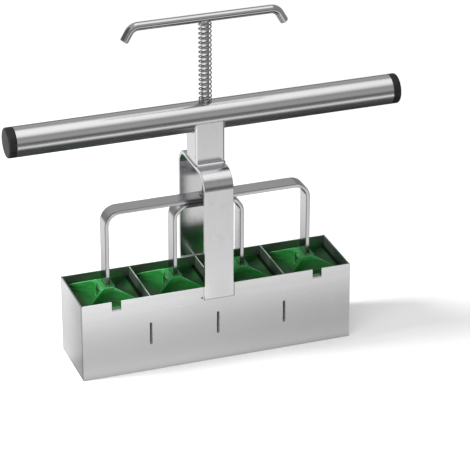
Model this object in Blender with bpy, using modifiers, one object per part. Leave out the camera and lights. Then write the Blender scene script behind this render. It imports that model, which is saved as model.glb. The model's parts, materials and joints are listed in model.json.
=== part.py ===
"""Soil blocker: a hand press that forms four cubes of potting mix at a time.

Units are metres, +Z is up and the origin is the centre of the mould's bottom edge. +X runs
along the mould and +Y towards its back wall. The mould, the bail, the neck and the handle
tube stand still. The push handle, the rod, the two yokes and the plungers slide down
together along Z, against the spring.
"""

import math

import bmesh
import bpy
from mathutils import Matrix

# Gaps between separate pieces, and how far a cutter runs past what it cuts
CLEARANCE = 0.0003
OVERRUN = 0.001

# Mould of sheet steel, with the dividers' tabs held in slots in the long walls
CELL_COUNT = 4
CELL_WIDTH = 0.051
SHEET_THICKNESS = 0.001
WALL_HEIGHT = 0.061
TAB_HEIGHT = 0.0155
NOTCH_WIDTH = 0.0072
NOTCH_DEPTH = 0.0065
STOP_TAB_REACH = 0.0042

# Bail: one flat bar bent over the mould
BAIL_WIDTH = 0.0222
BAIL_THICKNESS = 0.003
BAIL_LAP = 0.0085
BAIL_RISE = 0.0907
BAIL_BEND_RADIUS = 0.013

# Neck: a short box-section tube between the bail and the handle tube
NECK_WALL = 0.0012
NECK_CORNER_RADIUS = 0.0016
NECK_RISE = 0.0346

# Handle tube and its two plastic caps
TUBE_DIAMETER = 0.0222
TUBE_WALL = 0.0012
TUBE_LENGTH = 0.286
CAP_HEAD_LENGTH = 0.0064
CAP_PLUG_LENGTH = 0.010
CAP_PLUG_WALL = 0.0016
CAP_EDGE_RADIUS = 0.0014

# Push rod, its cross handle and the coil spring between them and the tube
ROD_DIAMETER = 0.006
ROD_CHAMFER = 0.0005
ROD_TAIL = 0.0003
GRIP_DIAMETER = 0.0062
GRIP_STRAIGHT = 0.0994
GRIP_BEND_RADIUS = 0.008
GRIP_BEND_ANGLE = math.radians(60)
GRIP_TIP_LENGTH = 0.0073
SPRING_LENGTH = 0.0603
SPRING_DIAMETER = 0.0098
SPRING_WIRE = 0.00095
SPRING_TURNS = 18

# Yokes of flat bar that carry the plungers, and the nut and washer that hold them on the rod
STRAP_WIDTH = 0.0127
STRAP_THICKNESS = 0.003
YOKE_BEND_RADIUS = 0.012
YOKE_HEIGHT = 0.0675
WASHER_DIAMETER = 0.0098
WASHER_HEIGHT = 0.0012
NUT_ACROSS_CORNERS = 0.0092
NUT_HEIGHT = 0.0018

# Plungers of moulded plastic, riveted to the yokes' legs, with a seed pin under each
PLATE_THICKNESS = 0.003
BOSS_WIDTH = 0.012
BOSS_END_WIDTH = 0.008
BOSS_LENGTH = 0.017
BOSS_HEIGHT = 0.0103
LEG_SEAT = 0.0028
RIVET_HEIGHT = 0.0060
RIVET_DIAMETER = 0.0032
RIVET_HEAD_DIAMETER = 0.0052
RIVET_HEAD_HEIGHT = 0.0012
RECESS_DIAMETER = 0.008
RECESS_DEPTH = 0.001
PIN_LENGTH = 0.008
PIN_DIAMETER = 0.010
PIN_TIP_DIAMETER = 0.0064
PIN_TIP_RADIUS = 0.0012
SPIGOT_DIAMETER = 0.004
SPIGOT_LENGTH = 0.0022

# How the plunger's scoops fall away, along its ridges and along the middle of its sides, and
# how closely its rings of points crowd towards the boss
RIDGE_FALL = 0.85
SCOOP_FALL = 16.0
RING_CROWDING = 1.5

# Counts that set how finely round shapes are drawn
TUBE_STEPS = 40
ROD_STEPS = 20
SMALL_STEPS = 16
BEND_STEPS = 6
EDGE_STEPS = 3
SPRING_POINTS_PER_TURN = 9
PLUNGER_RINGS = 9
PLUNGER_SIDE_STEPS = 6

# Mould places
CELL_PITCH = CELL_WIDTH + SHEET_THICKNESS
MOULD_LENGTH = CELL_COUNT * CELL_PITCH + SHEET_THICKNESS
MOULD_WIDTH = CELL_WIDTH + 2 * SHEET_THICKNESS
SLOT_HEIGHT = TAB_HEIGHT + 2 * CLEARANCE
SLOT_WIDTH = SHEET_THICKNESS + 2 * CLEARANCE
TAB_Z = WALL_HEIGHT / 2
STOP_TAB_TOP = WALL_HEIGHT - NOTCH_DEPTH

# Heights up the press
RIM_Z = STOP_TAB_TOP - SHEET_THICKNESS - CLEARANCE
LEG_BOTTOM = RIM_Z + LEG_SEAT
RIVET_Z = RIM_Z + RIVET_HEIGHT
YOKE_TOP = LEG_BOTTOM + YOKE_HEIGHT
INNER_YOKE_TOP = YOKE_TOP - STRAP_THICKNESS - CLEARANCE
NUT_TOP = INNER_YOKE_TOP - STRAP_THICKNESS - CLEARANCE
ROD_BOTTOM = NUT_TOP - NUT_HEIGHT - ROD_TAIL
BAIL_TOP = WALL_HEIGHT + BAIL_RISE
NECK_BOTTOM = BAIL_TOP + CLEARANCE
TUBE_Z = BAIL_TOP + NECK_RISE
SPRING_BOTTOM = TUBE_Z + TUBE_DIAMETER / 2 + CLEARANCE
SPRING_TOP = SPRING_BOTTOM + SPRING_LENGTH
GRIP_Z = SPRING_TOP + CLEARANCE + GRIP_DIAMETER / 2
ROD_TOP = GRIP_Z - GRIP_DIAMETER / 2 - CLEARANCE
ROD_HOLE_DIAMETER = ROD_DIAMETER + 2 * CLEARANCE
GUIDE_HOLE_DIAMETER = ROD_DIAMETER + 4 * CLEARANCE

STEEL = (0.62, 0.62, 0.63, 1.0)
BRIGHT_STEEL = (0.72, 0.72, 0.73, 1.0)
GREEN_PLASTIC = (0.016, 0.26, 0.028, 1.0)
BLACK_PLASTIC = (0.02, 0.02, 0.022, 1.0)

# Turns that stand a flat outline up: along the mould, and across it
ALONG_MOULD = Matrix.Rotation(math.radians(90), 4, "X")
ACROSS_MOULD = Matrix.Rotation(math.radians(90), 4, "Z") @ Matrix.Rotation(math.radians(90), 4, "X")
AXIS_TO_X = Matrix.Rotation(math.radians(90), 4, "Y")


def clear_scene():
    """Remove whatever the file holds."""
    for thing in list(bpy.data.objects):
        bpy.data.objects.remove(thing, do_unlink=True)


def new_collection(name):
    """Make a collection in the scene and return it."""
    collection = bpy.data.collections.new(name)
    bpy.context.scene.collection.children.link(collection)
    return collection


def make_finish(name, colour, roughness, metallic):
    """Return a material with one plain finish."""
    material = bpy.data.materials.new(name)
    material.use_nodes = True
    shader = material.node_tree.nodes["Principled BSDF"]
    shader.inputs["Base Color"].default_value = colour
    shader.inputs["Roughness"].default_value = roughness
    shader.inputs["Metallic"].default_value = metallic
    return material


def brushed_steel(name):
    """Return the satin finish of the mould and the flat bars."""
    return make_finish(name, STEEL, 0.32, 1.0)


def bright_steel(name):
    """Return the polished finish of the tube, the rods and the small fasteners."""
    return make_finish(name, BRIGHT_STEEL, 0.14, 1.0)


def green_plastic(name):
    """Return the plungers' moulded green plastic."""
    return make_finish(name, GREEN_PLASTIC, 0.38, 0.0)


def black_plastic(name):
    """Return the end caps' black plastic."""
    return make_finish(name, BLACK_PLASTIC, 0.5, 0.0)


def place(thing, matrix, parent, finish):
    """Stand a piece in the world under its parent and give it a finish of its own."""
    thing.matrix_world = matrix
    if parent is not None:
        thing.parent = parent
        thing.matrix_parent_inverse = parent.matrix_world.inverted()
    thing.data.materials.clear()
    thing.data.materials.append(finish(thing.name + "_finish"))
    return thing


def hide_as_tool(thing):
    """Mark a piece as a cutter or a shape to be joined, not a part."""
    thing.hide_render = True
    thing.display_type = "WIRE"
    return thing


def mesh_object(name, collection, mesh_builder):
    """Return an object whose mesh the builder function fills in."""
    mesh = bpy.data.meshes.new(name)
    shape = bmesh.new()
    mesh_builder(shape)
    shape.to_mesh(mesh)
    shape.free()
    thing = bpy.data.objects.new(name, mesh)
    collection.objects.link(thing)
    return thing


def block(name, collection, size_x, size_y, size_z):
    """Return a box centred on its own origin."""
    def build(shape):
        bmesh.ops.create_cube(shape, size=1.0)
        bmesh.ops.scale(shape, vec=(size_x, size_y, size_z), verts=shape.verts)
    return mesh_object(name, collection, build)


def round_bar(name, collection, diameter, length, steps):
    """Return a cylinder centred on its own origin, standing along Z."""
    def build(shape):
        bmesh.ops.create_cone(
            shape, cap_ends=True, segments=steps,
            radius1=diameter / 2, radius2=diameter / 2, depth=length)
    return mesh_object(name, collection, build)


def turned(name, collection, profile, steps, closed):
    """Return a turned piece from (radius, height) points that run down its outer side."""
    mesh = bpy.data.meshes.new(name)
    count = len(profile)
    edges = [(index, index + 1) for index in range(count - 1)]
    if closed:
        edges.append((count - 1, 0))
    mesh.from_pydata([(radius, 0, height) for radius, height in profile], edges, [])
    thing = bpy.data.objects.new(name, mesh)
    collection.objects.link(thing)
    screw = thing.modifiers.new("turn", "SCREW")
    screw.axis = "Z"
    screw.steps = steps
    screw.render_steps = steps
    screw.use_merge_vertices = True
    screw.merge_threshold = OVERRUN / 100
    screw.use_smooth_shade = True
    return thing


def arc(centre_x, centre_y, radius, start, end, steps):
    """Return points along an arc, both ends included; angles are in degrees."""
    points = []
    for index in range(steps + 1):
        angle = math.radians(start + (end - start) * index / steps)
        points.append((centre_x + radius * math.cos(angle), centre_y + radius * math.sin(angle)))
    return points


def plate(name, collection, loops, thickness):
    """Return a flat piece of the given thickness from its outline and any holes in it."""
    outline = bpy.data.curves.new(name, "CURVE")
    outline.dimensions = "2D"
    outline.fill_mode = "BOTH"
    outline.extrude = thickness / 2
    for loop in loops:
        spline = outline.splines.new("POLY")
        spline.points.add(len(loop) - 1)
        for point, (x, y) in zip(spline.points, loop):
            point.co = (x, y, 0, 1)
        spline.use_cyclic_u = True
    drawing = bpy.data.objects.new(name + "_outline", outline)
    collection.objects.link(drawing)
    mesh = bpy.data.meshes.new_from_object(
        drawing.evaluated_get(bpy.context.evaluated_depsgraph_get()))
    bpy.data.objects.remove(drawing, do_unlink=True)
    shape = bmesh.new()
    shape.from_mesh(mesh)
    bmesh.ops.remove_doubles(shape, verts=shape.verts, dist=OVERRUN / 100)
    bmesh.ops.recalc_face_normals(shape, faces=shape.faces)
    shape.to_mesh(mesh)
    shape.free()
    mesh.name = name
    thing = bpy.data.objects.new(name, mesh)
    collection.objects.link(thing)
    return thing


def bent_bar_outline(half_span, low, high, thickness, radius):
    """Return the edge view of a bar bent into an upside-down U, its outer size given."""
    inner = radius - thickness
    points = [(-half_span, low)]
    points += arc(-half_span + radius, high - radius, radius, 180, 90, BEND_STEPS)
    points += arc(half_span - radius, high - radius, radius, 90, 0, BEND_STEPS)
    points += [(half_span, low), (half_span - thickness, low)]
    points += arc(half_span - radius, high - radius, inner, 0, 90, BEND_STEPS)
    points += arc(-half_span + radius, high - radius, inner, 90, 180, BEND_STEPS)
    points.append((-half_span + thickness, low))
    return points


def boolean(thing, tool, operation):
    """Cut a tool from a piece, or join it on, with the exact solver."""
    modifier = thing.modifiers.new(tool.name, "BOOLEAN")
    modifier.operation = operation
    modifier.solver = "EXACT"
    modifier.object = tool


def rectangle(centre_x, centre_y, width, height):
    """Return the corners of a rectangle."""
    x0, x1 = centre_x - width / 2, centre_x + width / 2
    y0, y1 = centre_y - height / 2, centre_y + height / 2
    return [(x0, y0), (x1, y0), (x1, y1), (x0, y1)]


def divider_places():
    """Return the dividers' places along the mould."""
    first = -(CELL_COUNT - 2) / 2 * CELL_PITCH
    return [first + index * CELL_PITCH for index in range(CELL_COUNT - 1)]


def cell_places():
    """Return the middles of the cells along the mould."""
    first = -(CELL_COUNT - 1) / 2 * CELL_PITCH
    return [first + index * CELL_PITCH for index in range(CELL_COUNT)]


def notch_places():
    """Return the places of the two notches, over the first and the last cell."""
    places = cell_places()
    return [places[0], places[-1]]


def front_wall_outline():
    """Return the front wall's outline with a notch for each stop tab."""
    half = MOULD_LENGTH / 2
    points = [(-half, 0), (half, 0), (half, WALL_HEIGHT)]
    for place_x in reversed(notch_places()):
        left, right = place_x - NOTCH_WIDTH / 2, place_x + NOTCH_WIDTH / 2
        points += [(right, WALL_HEIGHT), (right, STOP_TAB_TOP),
                   (left, STOP_TAB_TOP), (left, WALL_HEIGHT)]
    points.append((-half, WALL_HEIGHT))
    return points


def make_long_walls(parts, tools, root):
    """Make the front and back walls, which hold the dividers' tabs in their slots."""
    slots = [rectangle(x, TAB_Z, SLOT_WIDTH, SLOT_HEIGHT) for x in divider_places()]
    wall_y = (MOULD_WIDTH - SHEET_THICKNESS) / 2
    front = plate("front_wall", parts, [front_wall_outline()] + slots, SHEET_THICKNESS)
    place(front, Matrix.Translation((0, -wall_y, 0)) @ ALONG_MOULD, root, brushed_steel)
    tab_depth = STOP_TAB_REACH + SHEET_THICKNESS / 2
    for index, place_x in enumerate(notch_places(), start=1):
        tab = block("stop_tab_%d" % index, tools, NOTCH_WIDTH, tab_depth, SHEET_THICKNESS)
        tab.location = (place_x, -wall_y + tab_depth / 2, STOP_TAB_TOP - SHEET_THICKNESS / 2)
        hide_as_tool(tab)
        boolean(front, tab, "UNION")
    outline = rectangle(0, WALL_HEIGHT / 2, MOULD_LENGTH, WALL_HEIGHT)
    back = plate("back_wall", parts, [outline] + slots, SHEET_THICKNESS)
    place(back, Matrix.Translation((0, wall_y, 0)) @ ALONG_MOULD, root, brushed_steel)


def make_end_walls(parts, root):
    """Make the two end walls, which stand between the long walls."""
    length = CELL_WIDTH - 2 * CLEARANCE
    for name, side in (("left_end_wall", -1), ("right_end_wall", 1)):
        wall = block(name, parts, SHEET_THICKNESS, length, WALL_HEIGHT)
        centre = Matrix.Translation((side * (MOULD_LENGTH - SHEET_THICKNESS) / 2, 0, WALL_HEIGHT / 2))
        place(wall, centre, root, brushed_steel)


def divider_outline():
    """Return a divider's outline: a wall with a tab at each side that fills a slot."""
    inner = CELL_WIDTH / 2 - CLEARANCE
    outer = MOULD_WIDTH / 2
    low, high = TAB_Z - TAB_HEIGHT / 2, TAB_Z + TAB_HEIGHT / 2
    return [(-inner, 0), (inner, 0), (inner, low), (outer, low), (outer, high), (inner, high),
            (inner, WALL_HEIGHT), (-inner, WALL_HEIGHT), (-inner, high), (-outer, high),
            (-outer, low), (-inner, low)]


def make_dividers(parts, root):
    """Make the three walls between the cells."""
    for index, place_x in enumerate(divider_places(), start=1):
        wall = plate("divider_%d" % index, parts, [divider_outline()], SHEET_THICKNESS)
        place(wall, Matrix.Translation((place_x, 0, 0)) @ ACROSS_MOULD, root, brushed_steel)


def rod_hole(name, tools, diameter, low, high):
    """Return a cutter on the rod's axis between two heights."""
    hole = round_bar(name, tools, diameter, high - low + 2 * OVERRUN, ROD_STEPS)
    hole.location = (0, 0, (high + low) / 2)
    return hide_as_tool(hole)


def make_bail(parts, tools, root):
    """Make the flat bar that bends up over the mould from wall to wall."""
    half_span = MOULD_WIDTH / 2 + CLEARANCE + BAIL_THICKNESS
    outline = bent_bar_outline(
        half_span, WALL_HEIGHT - BAIL_LAP, BAIL_TOP, BAIL_THICKNESS, BAIL_BEND_RADIUS)
    bail = plate("bail", parts, [outline], BAIL_WIDTH)
    place(bail, ACROSS_MOULD.copy(), root, brushed_steel)
    hole = rod_hole("bail_hole", tools, GUIDE_HOLE_DIAMETER, BAIL_TOP - BAIL_THICKNESS, BAIL_TOP)
    boolean(bail, hole, "DIFFERENCE")


def rounded_rectangle(half_x, half_y, radius):
    """Return the outline of a rectangle with round corners."""
    points = []
    for sign_x, sign_y, start in ((1, 1, 0), (-1, 1, 90), (-1, -1, 180), (1, -1, 270)):
        points += arc(sign_x * (half_x - radius), sign_y * (half_y - radius), radius,
                      start, start + 90, EDGE_STEPS)
    return points


def make_neck(parts, tools, root):
    """Make the box-section tube that stands on the bail and is coped to the handle tube."""
    half_x, half_y = BAIL_WIDTH / 2, TUBE_DIAMETER / 2
    height = TUBE_Z - NECK_BOTTOM
    section = [rounded_rectangle(half_x, half_y, NECK_CORNER_RADIUS),
               rounded_rectangle(half_x - NECK_WALL, half_y - NECK_WALL,
                                 NECK_CORNER_RADIUS - NECK_WALL)]
    neck = plate("neck", parts, section, height)
    place(neck, Matrix.Translation((0, 0, NECK_BOTTOM + height / 2)), root, brushed_steel)
    saddle = round_bar(
        "neck_saddle", tools, TUBE_DIAMETER + 2 * CLEARANCE, BAIL_WIDTH + 2 * OVERRUN, TUBE_STEPS)
    saddle.matrix_world = Matrix.Translation((0, 0, TUBE_Z)) @ AXIS_TO_X
    hide_as_tool(saddle)
    boolean(neck, saddle, "DIFFERENCE")


def make_handle_tube(parts, tools, root):
    """Make the tube that the hands hold, drilled for the rod."""
    outer, inner, half = TUBE_DIAMETER / 2, TUBE_DIAMETER / 2 - TUBE_WALL, TUBE_LENGTH / 2
    profile = [(outer, half), (outer, -half), (inner, -half), (inner, half)]
    tube = turned("handle_tube", parts, profile, TUBE_STEPS, closed=True)
    place(tube, Matrix.Translation((0, 0, TUBE_Z)) @ AXIS_TO_X, root, bright_steel)
    hole = rod_hole("tube_hole", tools, GUIDE_HOLE_DIAMETER, TUBE_Z - outer, TUBE_Z + outer)
    boolean(tube, hole, "DIFFERENCE")


def cap_profile():
    """Return a cap's profile: a round-edged head, then a hollow plug that the tube holds."""
    head = TUBE_DIAMETER / 2
    plug = TUBE_DIAMETER / 2 - TUBE_WALL - CLEARANCE
    bore = plug - CAP_PLUG_WALL
    points = [(0, CAP_HEAD_LENGTH)]
    corner = arc(head - CAP_EDGE_RADIUS, CAP_HEAD_LENGTH - CAP_EDGE_RADIUS,
                 CAP_EDGE_RADIUS, 90, 0, EDGE_STEPS)
    points += corner
    points += [(head, CLEARANCE), (plug, CLEARANCE), (plug, -CAP_PLUG_LENGTH),
               (bore, -CAP_PLUG_LENGTH), (bore, CLEARANCE), (0, CLEARANCE)]
    return points


def make_end_caps(parts, root):
    """Make the plastic caps that close the tube's ends."""
    for name, side in (("left_end_cap", -1), ("right_end_cap", 1)):
        cap = turned(name, parts, cap_profile(), TUBE_STEPS, closed=False)
        turn = Matrix.Rotation(side * math.radians(90), 4, "Y")
        place(cap, Matrix.Translation((side * TUBE_LENGTH / 2, 0, TUBE_Z)) @ turn,
              root, black_plastic)


def spring_points():
    """Return the points of the spring's helix, from the tube up to the push handle."""
    radius = (SPRING_DIAMETER - SPRING_WIRE) / 2
    low = SPRING_BOTTOM + SPRING_WIRE / 2
    rise = SPRING_LENGTH - SPRING_WIRE
    count = SPRING_TURNS * SPRING_POINTS_PER_TURN
    points = []
    for index in range(count + 1):
        angle = 2 * math.pi * index / SPRING_POINTS_PER_TURN
        points.append((radius * math.cos(angle), radius * math.sin(angle),
                       low + rise * index / count))
    return points


def least_gap(points, diameter):
    """Return the least gap between the turns of a wound wire, measured on its points."""
    least = math.inf
    for first, point in enumerate(points):
        for other in points[first + SPRING_POINTS_PER_TURN // 2:]:
            least = min(least, math.dist(point, other) - diameter)
    return least


def wire(name, collection, points, diameter, resolution):
    """Return a round wire along a line of points, with closed ends."""
    line = bpy.data.curves.new(name, "CURVE")
    line.dimensions = "3D"
    line.bevel_depth = diameter / 2
    line.bevel_resolution = resolution
    line.use_fill_caps = True
    spline = line.splines.new("POLY")
    spline.points.add(len(points) - 1)
    for point, (x, y, z) in zip(spline.points, points):
        point.co = (x, y, z, 1)
    spline.use_smooth = True
    thing = bpy.data.objects.new(name, line)
    collection.objects.link(thing)
    return thing


def make_spring(parts, root):
    """Make the coil spring that lifts the push handle from the tube."""
    points = spring_points()
    print("spring: least gap between turns %.5f m" % least_gap(points, SPRING_WIRE))
    local = [(x, y, z - SPRING_BOTTOM) for x, y, z in points]
    spring = wire("spring", parts, local, SPRING_WIRE, 1)
    place(spring, Matrix.Translation((0, 0, SPRING_BOTTOM)), root, bright_steel)


def make_rod(parts, slide):
    """Make the rod that runs from the cross handle down to the yokes."""
    radius, half = ROD_DIAMETER / 2, (ROD_TOP - ROD_BOTTOM) / 2
    profile = [(0, half), (radius - ROD_CHAMFER, half), (radius, half - ROD_CHAMFER),
               (radius, -half + ROD_CHAMFER), (radius - ROD_CHAMFER, -half), (0, -half)]
    rod = turned("push_rod", parts, profile, ROD_STEPS, closed=False)
    place(rod, Matrix.Translation((0, 0, ROD_TOP - half)), slide, bright_steel)


def grip_points():
    """Return the cross handle's centre line: a straight run whose ends bend down."""
    turn = math.degrees(GRIP_BEND_ANGLE)
    half = GRIP_STRAIGHT / 2
    bend = arc(half, -GRIP_BEND_RADIUS, GRIP_BEND_RADIUS, 90, 90 - turn, BEND_STEPS)
    end_x, end_z = bend[-1]
    tip = (end_x + GRIP_TIP_LENGTH * math.cos(GRIP_BEND_ANGLE),
           end_z - GRIP_TIP_LENGTH * math.sin(GRIP_BEND_ANGLE))
    right = bend + [tip]
    left = [(-x, z) for x, z in reversed(right)]
    return [(x, 0, z) for x, z in left + right]


def make_grip(parts, slide):
    """Make the cross handle on top of the rod."""
    grip = wire("push_handle", parts, grip_points(), GRIP_DIAMETER, 3)
    place(grip, Matrix.Translation((0, 0, GRIP_Z)), slide, bright_steel)


def make_yoke(name, parts, tools, slide, leg_x, top):
    """Make one yoke: a bar over the mould with a leg down to a plunger at each end."""
    outline = bent_bar_outline(
        leg_x + STRAP_THICKNESS / 2, LEG_BOTTOM, top, STRAP_THICKNESS, YOKE_BEND_RADIUS)
    yoke = plate(name, parts, [outline], STRAP_WIDTH)
    place(yoke, ALONG_MOULD.copy(), slide, brushed_steel)
    hole = rod_hole(name + "_hole", tools, ROD_HOLE_DIAMETER, top - STRAP_THICKNESS, top)
    boolean(yoke, hole, "DIFFERENCE")
    pivot = round_bar(name + "_rivet_holes", tools, RIVET_DIAMETER + 2 * CLEARANCE,
                      2 * (leg_x + STRAP_THICKNESS), SMALL_STEPS)
    pivot.matrix_world = Matrix.Translation((0, 0, RIVET_Z)) @ AXIS_TO_X
    hide_as_tool(pivot)
    boolean(yoke, pivot, "DIFFERENCE")


def make_yokes(parts, tools, slide):
    """Make the outer yoke for the end cells and the inner yoke for the middle cells."""
    places = cell_places()
    make_yoke("outer_yoke", parts, tools, slide, places[-1], YOKE_TOP)
    make_yoke("inner_yoke", parts, tools, slide, places[CELL_COUNT // 2], INNER_YOKE_TOP)


def make_rod_fasteners(parts, tools, slide):
    """Make the washer on the outer yoke and the nut under the inner one."""
    bore, rim = ROD_HOLE_DIAMETER / 2, WASHER_DIAMETER / 2
    profile = [(rim, WASHER_HEIGHT), (rim, 0), (bore, 0), (bore, WASHER_HEIGHT)]
    washer = turned("rod_washer", parts, profile, ROD_STEPS, closed=True)
    place(washer, Matrix.Translation((0, 0, YOKE_TOP + CLEARANCE)), slide, bright_steel)
    nut = round_bar("rod_nut", parts, NUT_ACROSS_CORNERS, NUT_HEIGHT, 6)
    place(nut, Matrix.Translation((0, 0, NUT_TOP - NUT_HEIGHT / 2)), slide, bright_steel)
    hole = rod_hole("nut_hole", tools, ROD_HOLE_DIAMETER, NUT_TOP - NUT_HEIGHT, NUT_TOP)
    boolean(nut, hole, "DIFFERENCE")


def side_points(half_x, half_y, bulge):
    """Return evenly spread points round a rectangle, with how near each is to a corner.

    Its left and right sides stand out by the bulge at their middles.
    """
    corners = [(half_x, -half_y), (half_x, half_y), (-half_x, half_y), (-half_x, -half_y)]
    points = []
    for index, (x0, y0) in enumerate(corners):
        x1, y1 = corners[(index + 1) % len(corners)]
        for step in range(PLUNGER_SIDE_STEPS):
            share = step / PLUNGER_SIDE_STEPS
            nearness = abs(2 * share - 1)
            x = x0 + (x1 - x0) * share
            if x0 == x1:
                x += math.copysign(bulge * (1 - nearness * nearness), x)
            points.append((x, y0 + (y1 - y0) * share, nearness))
    return points


def plunger_rings():
    """Return the plunger's rings of points, from its bottom face up to the top of its boss."""
    half = CELL_WIDTH / 2 - CLEARANCE
    bulge = (BOSS_WIDTH - BOSS_END_WIDTH) / 2
    rim = side_points(half, half, 0)
    top = side_points(BOSS_END_WIDTH / 2, BOSS_LENGTH / 2, bulge)
    rings = [[(x, y, -PLATE_THICKNESS) for x, y, nearness in rim]]
    for ring in range(PLUNGER_RINGS + 1):
        share = 1 - (1 - ring / PLUNGER_RINGS) ** RING_CROWDING
        points = []
        for (x0, y0, nearness), (x1, y1, same) in zip(rim, top):
            fall = SCOOP_FALL + (RIDGE_FALL - SCOOP_FALL) * nearness * nearness
            points.append((x0 + (x1 - x0) * share, y0 + (y1 - y0) * share,
                           BOSS_HEIGHT * share ** fall))
        rings.append(points)
    return rings


def build_plunger(shape):
    """Fill a mesh with the plunger: a square plate whose four ridges climb to a boss."""
    rings = [[shape.verts.new(point) for point in ring] for ring in plunger_rings()]
    count = len(rings[0])
    for low, high in zip(rings, rings[1:]):
        for index in range(count):
            after = (index + 1) % count
            shape.faces.new((low[index], low[after], high[after], high[index]))
    shape.faces.new(list(reversed(rings[0])))
    shape.faces.new(rings[-1])


def recess_outline():
    """Return the outline of the open-topped recess beside the boss that a rivet head sits in."""
    radius = RECESS_DIAMETER / 2
    top = BOSS_HEIGHT - RIVET_HEIGHT + OVERRUN
    return [(-radius, top)] + arc(0, 0, radius, 180, 360, SMALL_STEPS // 2) + [(radius, top)]


def make_plunger(index, place_x, parts, tools, slide):
    """Make one plunger, slotted for its yoke's leg and drilled for the rivet and the pin."""
    plunger = mesh_object("plunger_%d" % index, parts, build_plunger)
    place(plunger, Matrix.Translation((place_x, 0, RIM_Z)), slide, green_plastic)
    slot_low = LEG_BOTTOM - CLEARANCE
    slot_high = RIM_Z + BOSS_HEIGHT + OVERRUN
    slot = block("leg_slot_%d" % index, tools, STRAP_THICKNESS + 2 * CLEARANCE,
                 STRAP_WIDTH + 2 * CLEARANCE, slot_high - slot_low)
    slot.location = (place_x, 0, (slot_low + slot_high) / 2)
    rivet_hole = round_bar("rivet_hole_%d" % index, tools, RIVET_DIAMETER + 2 * CLEARANCE,
                           BOSS_WIDTH + RIVET_HEAD_DIAMETER, SMALL_STEPS)
    rivet_hole.matrix_world = Matrix.Translation((place_x, 0, RIVET_Z)) @ AXIS_TO_X
    recesses = []
    for word, side in (("left", -1), ("right", 1)):
        recess = plate("%s_rivet_recess_%d" % (word, index), tools, [recess_outline()], BOSS_WIDTH)
        recess.matrix_world = (
            Matrix.Translation((place_x + side * (BOSS_WIDTH - RECESS_DEPTH), 0, RIVET_Z))
            @ ACROSS_MOULD)
        recesses.append(recess)
    seat_top = RIM_Z - PLATE_THICKNESS + SPIGOT_LENGTH
    seat_low = RIM_Z - PLATE_THICKNESS - OVERRUN
    seat = round_bar("pin_seat_%d" % index, tools, SPIGOT_DIAMETER + 2 * CLEARANCE,
                     seat_top - seat_low, SMALL_STEPS)
    seat.location = (place_x, 0, (seat_top + seat_low) / 2)
    for tool in [slot, rivet_hole, seat] + recesses:
        hide_as_tool(tool)
        boolean(plunger, tool, "DIFFERENCE")


def rivet_profile():
    """Return a rivet's profile: a shank with a low domed head at each end."""
    shank, head = RIVET_DIAMETER / 2, RIVET_HEAD_DIAMETER / 2
    inner = BOSS_WIDTH / 2 - RECESS_DEPTH + CLEARANCE
    dome = []
    for step in range(EDGE_STEPS):
        angle = math.radians(90) * step / EDGE_STEPS
        dome.append((head * math.sin(angle), inner + RIVET_HEAD_HEIGHT * math.cos(angle)))
    upper = dome + [(head, inner), (shank, inner)]
    return upper + [(radius, -height) for radius, height in reversed(upper)]


def make_rivet(index, place_x, parts, slide):
    """Make the rivet that holds a plunger to its yoke's leg."""
    rivet = turned("plunger_rivet_%d" % index, parts, rivet_profile(), SMALL_STEPS, closed=False)
    place(rivet, Matrix.Translation((place_x, 0, RIVET_Z)) @ AXIS_TO_X, slide, bright_steel)


def pin_profile():
    """Return a seed pin's profile: a spigot over a blunt tapered peg."""
    spigot, peg, tip = SPIGOT_DIAMETER / 2, PIN_DIAMETER / 2, PIN_TIP_DIAMETER / 2
    top = SPIGOT_LENGTH - CLEARANCE
    points = [(0, top), (spigot, top), (spigot, -CLEARANCE), (peg, -CLEARANCE)]
    points += arc(tip - PIN_TIP_RADIUS, PIN_TIP_RADIUS - PIN_LENGTH, PIN_TIP_RADIUS,
                  0, -90, EDGE_STEPS)
    points.append((0, -PIN_LENGTH))
    return points


def make_seed_pin(index, place_x, parts, slide):
    """Make the peg under a plunger that leaves a seed hole in the block."""
    pin = turned("seed_pin_%d" % index, parts, pin_profile(), SMALL_STEPS, closed=False)
    place(pin, Matrix.Translation((place_x, 0, RIM_Z - PLATE_THICKNESS)), slide, green_plastic)


def make_plungers(parts, tools, slide):
    """Make the four plungers with their rivets and seed pins."""
    for index, place_x in enumerate(cell_places(), start=1):
        make_plunger(index, place_x, parts, tools, slide)
        make_rivet(index, place_x, parts, slide)
        make_seed_pin(index, place_x, parts, slide)


def smooth_round_pieces(parts):
    """Shade the round pieces smooth and keep their real edges sharp."""
    for thing in parts.objects:
        if thing.type == "MESH":
            thing.data.shade_smooth()
            thing.data.set_sharp_from_angle(angle=math.radians(35))


def main():
    """Build the soil blocker."""
    clear_scene()
    parts = new_collection("soil_blocker")
    tools = new_collection("cutters")
    root = bpy.data.objects.new("mould_root", None)
    slide = bpy.data.objects.new("press_slide", None)
    for empty in (root, slide):
        parts.objects.link(empty)
    slide.location = (0, 0, GRIP_Z)
    bpy.context.view_layer.update()
    make_long_walls(parts, tools, root)
    make_end_walls(parts, root)
    make_dividers(parts, root)
    make_bail(parts, tools, root)
    make_neck(parts, tools, root)
    make_handle_tube(parts, tools, root)
    make_end_caps(parts, root)
    make_spring(parts, root)
    make_rod(parts, slide)
    make_grip(parts, slide)
    make_yokes(parts, tools, slide)
    make_rod_fasteners(parts, tools, slide)
    make_plungers(parts, tools, slide)
    smooth_round_pieces(parts)


if __name__ == "__main__":
    main()
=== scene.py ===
"""Looks of the soil blocker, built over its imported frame.

Lengths are metres, +Z is up, +X runs along the mould and +Y towards its back wall. The origin
is the centre of the mould's bottom edge. Every piece here stands for the node of the same name
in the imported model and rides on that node's body.
"""

import json
import logging
import math
from dataclasses import dataclass
from enum import Enum
from typing import Callable, Sequence, Union

import bmesh
import bpy
from mathutils import Matrix, Vector

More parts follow.
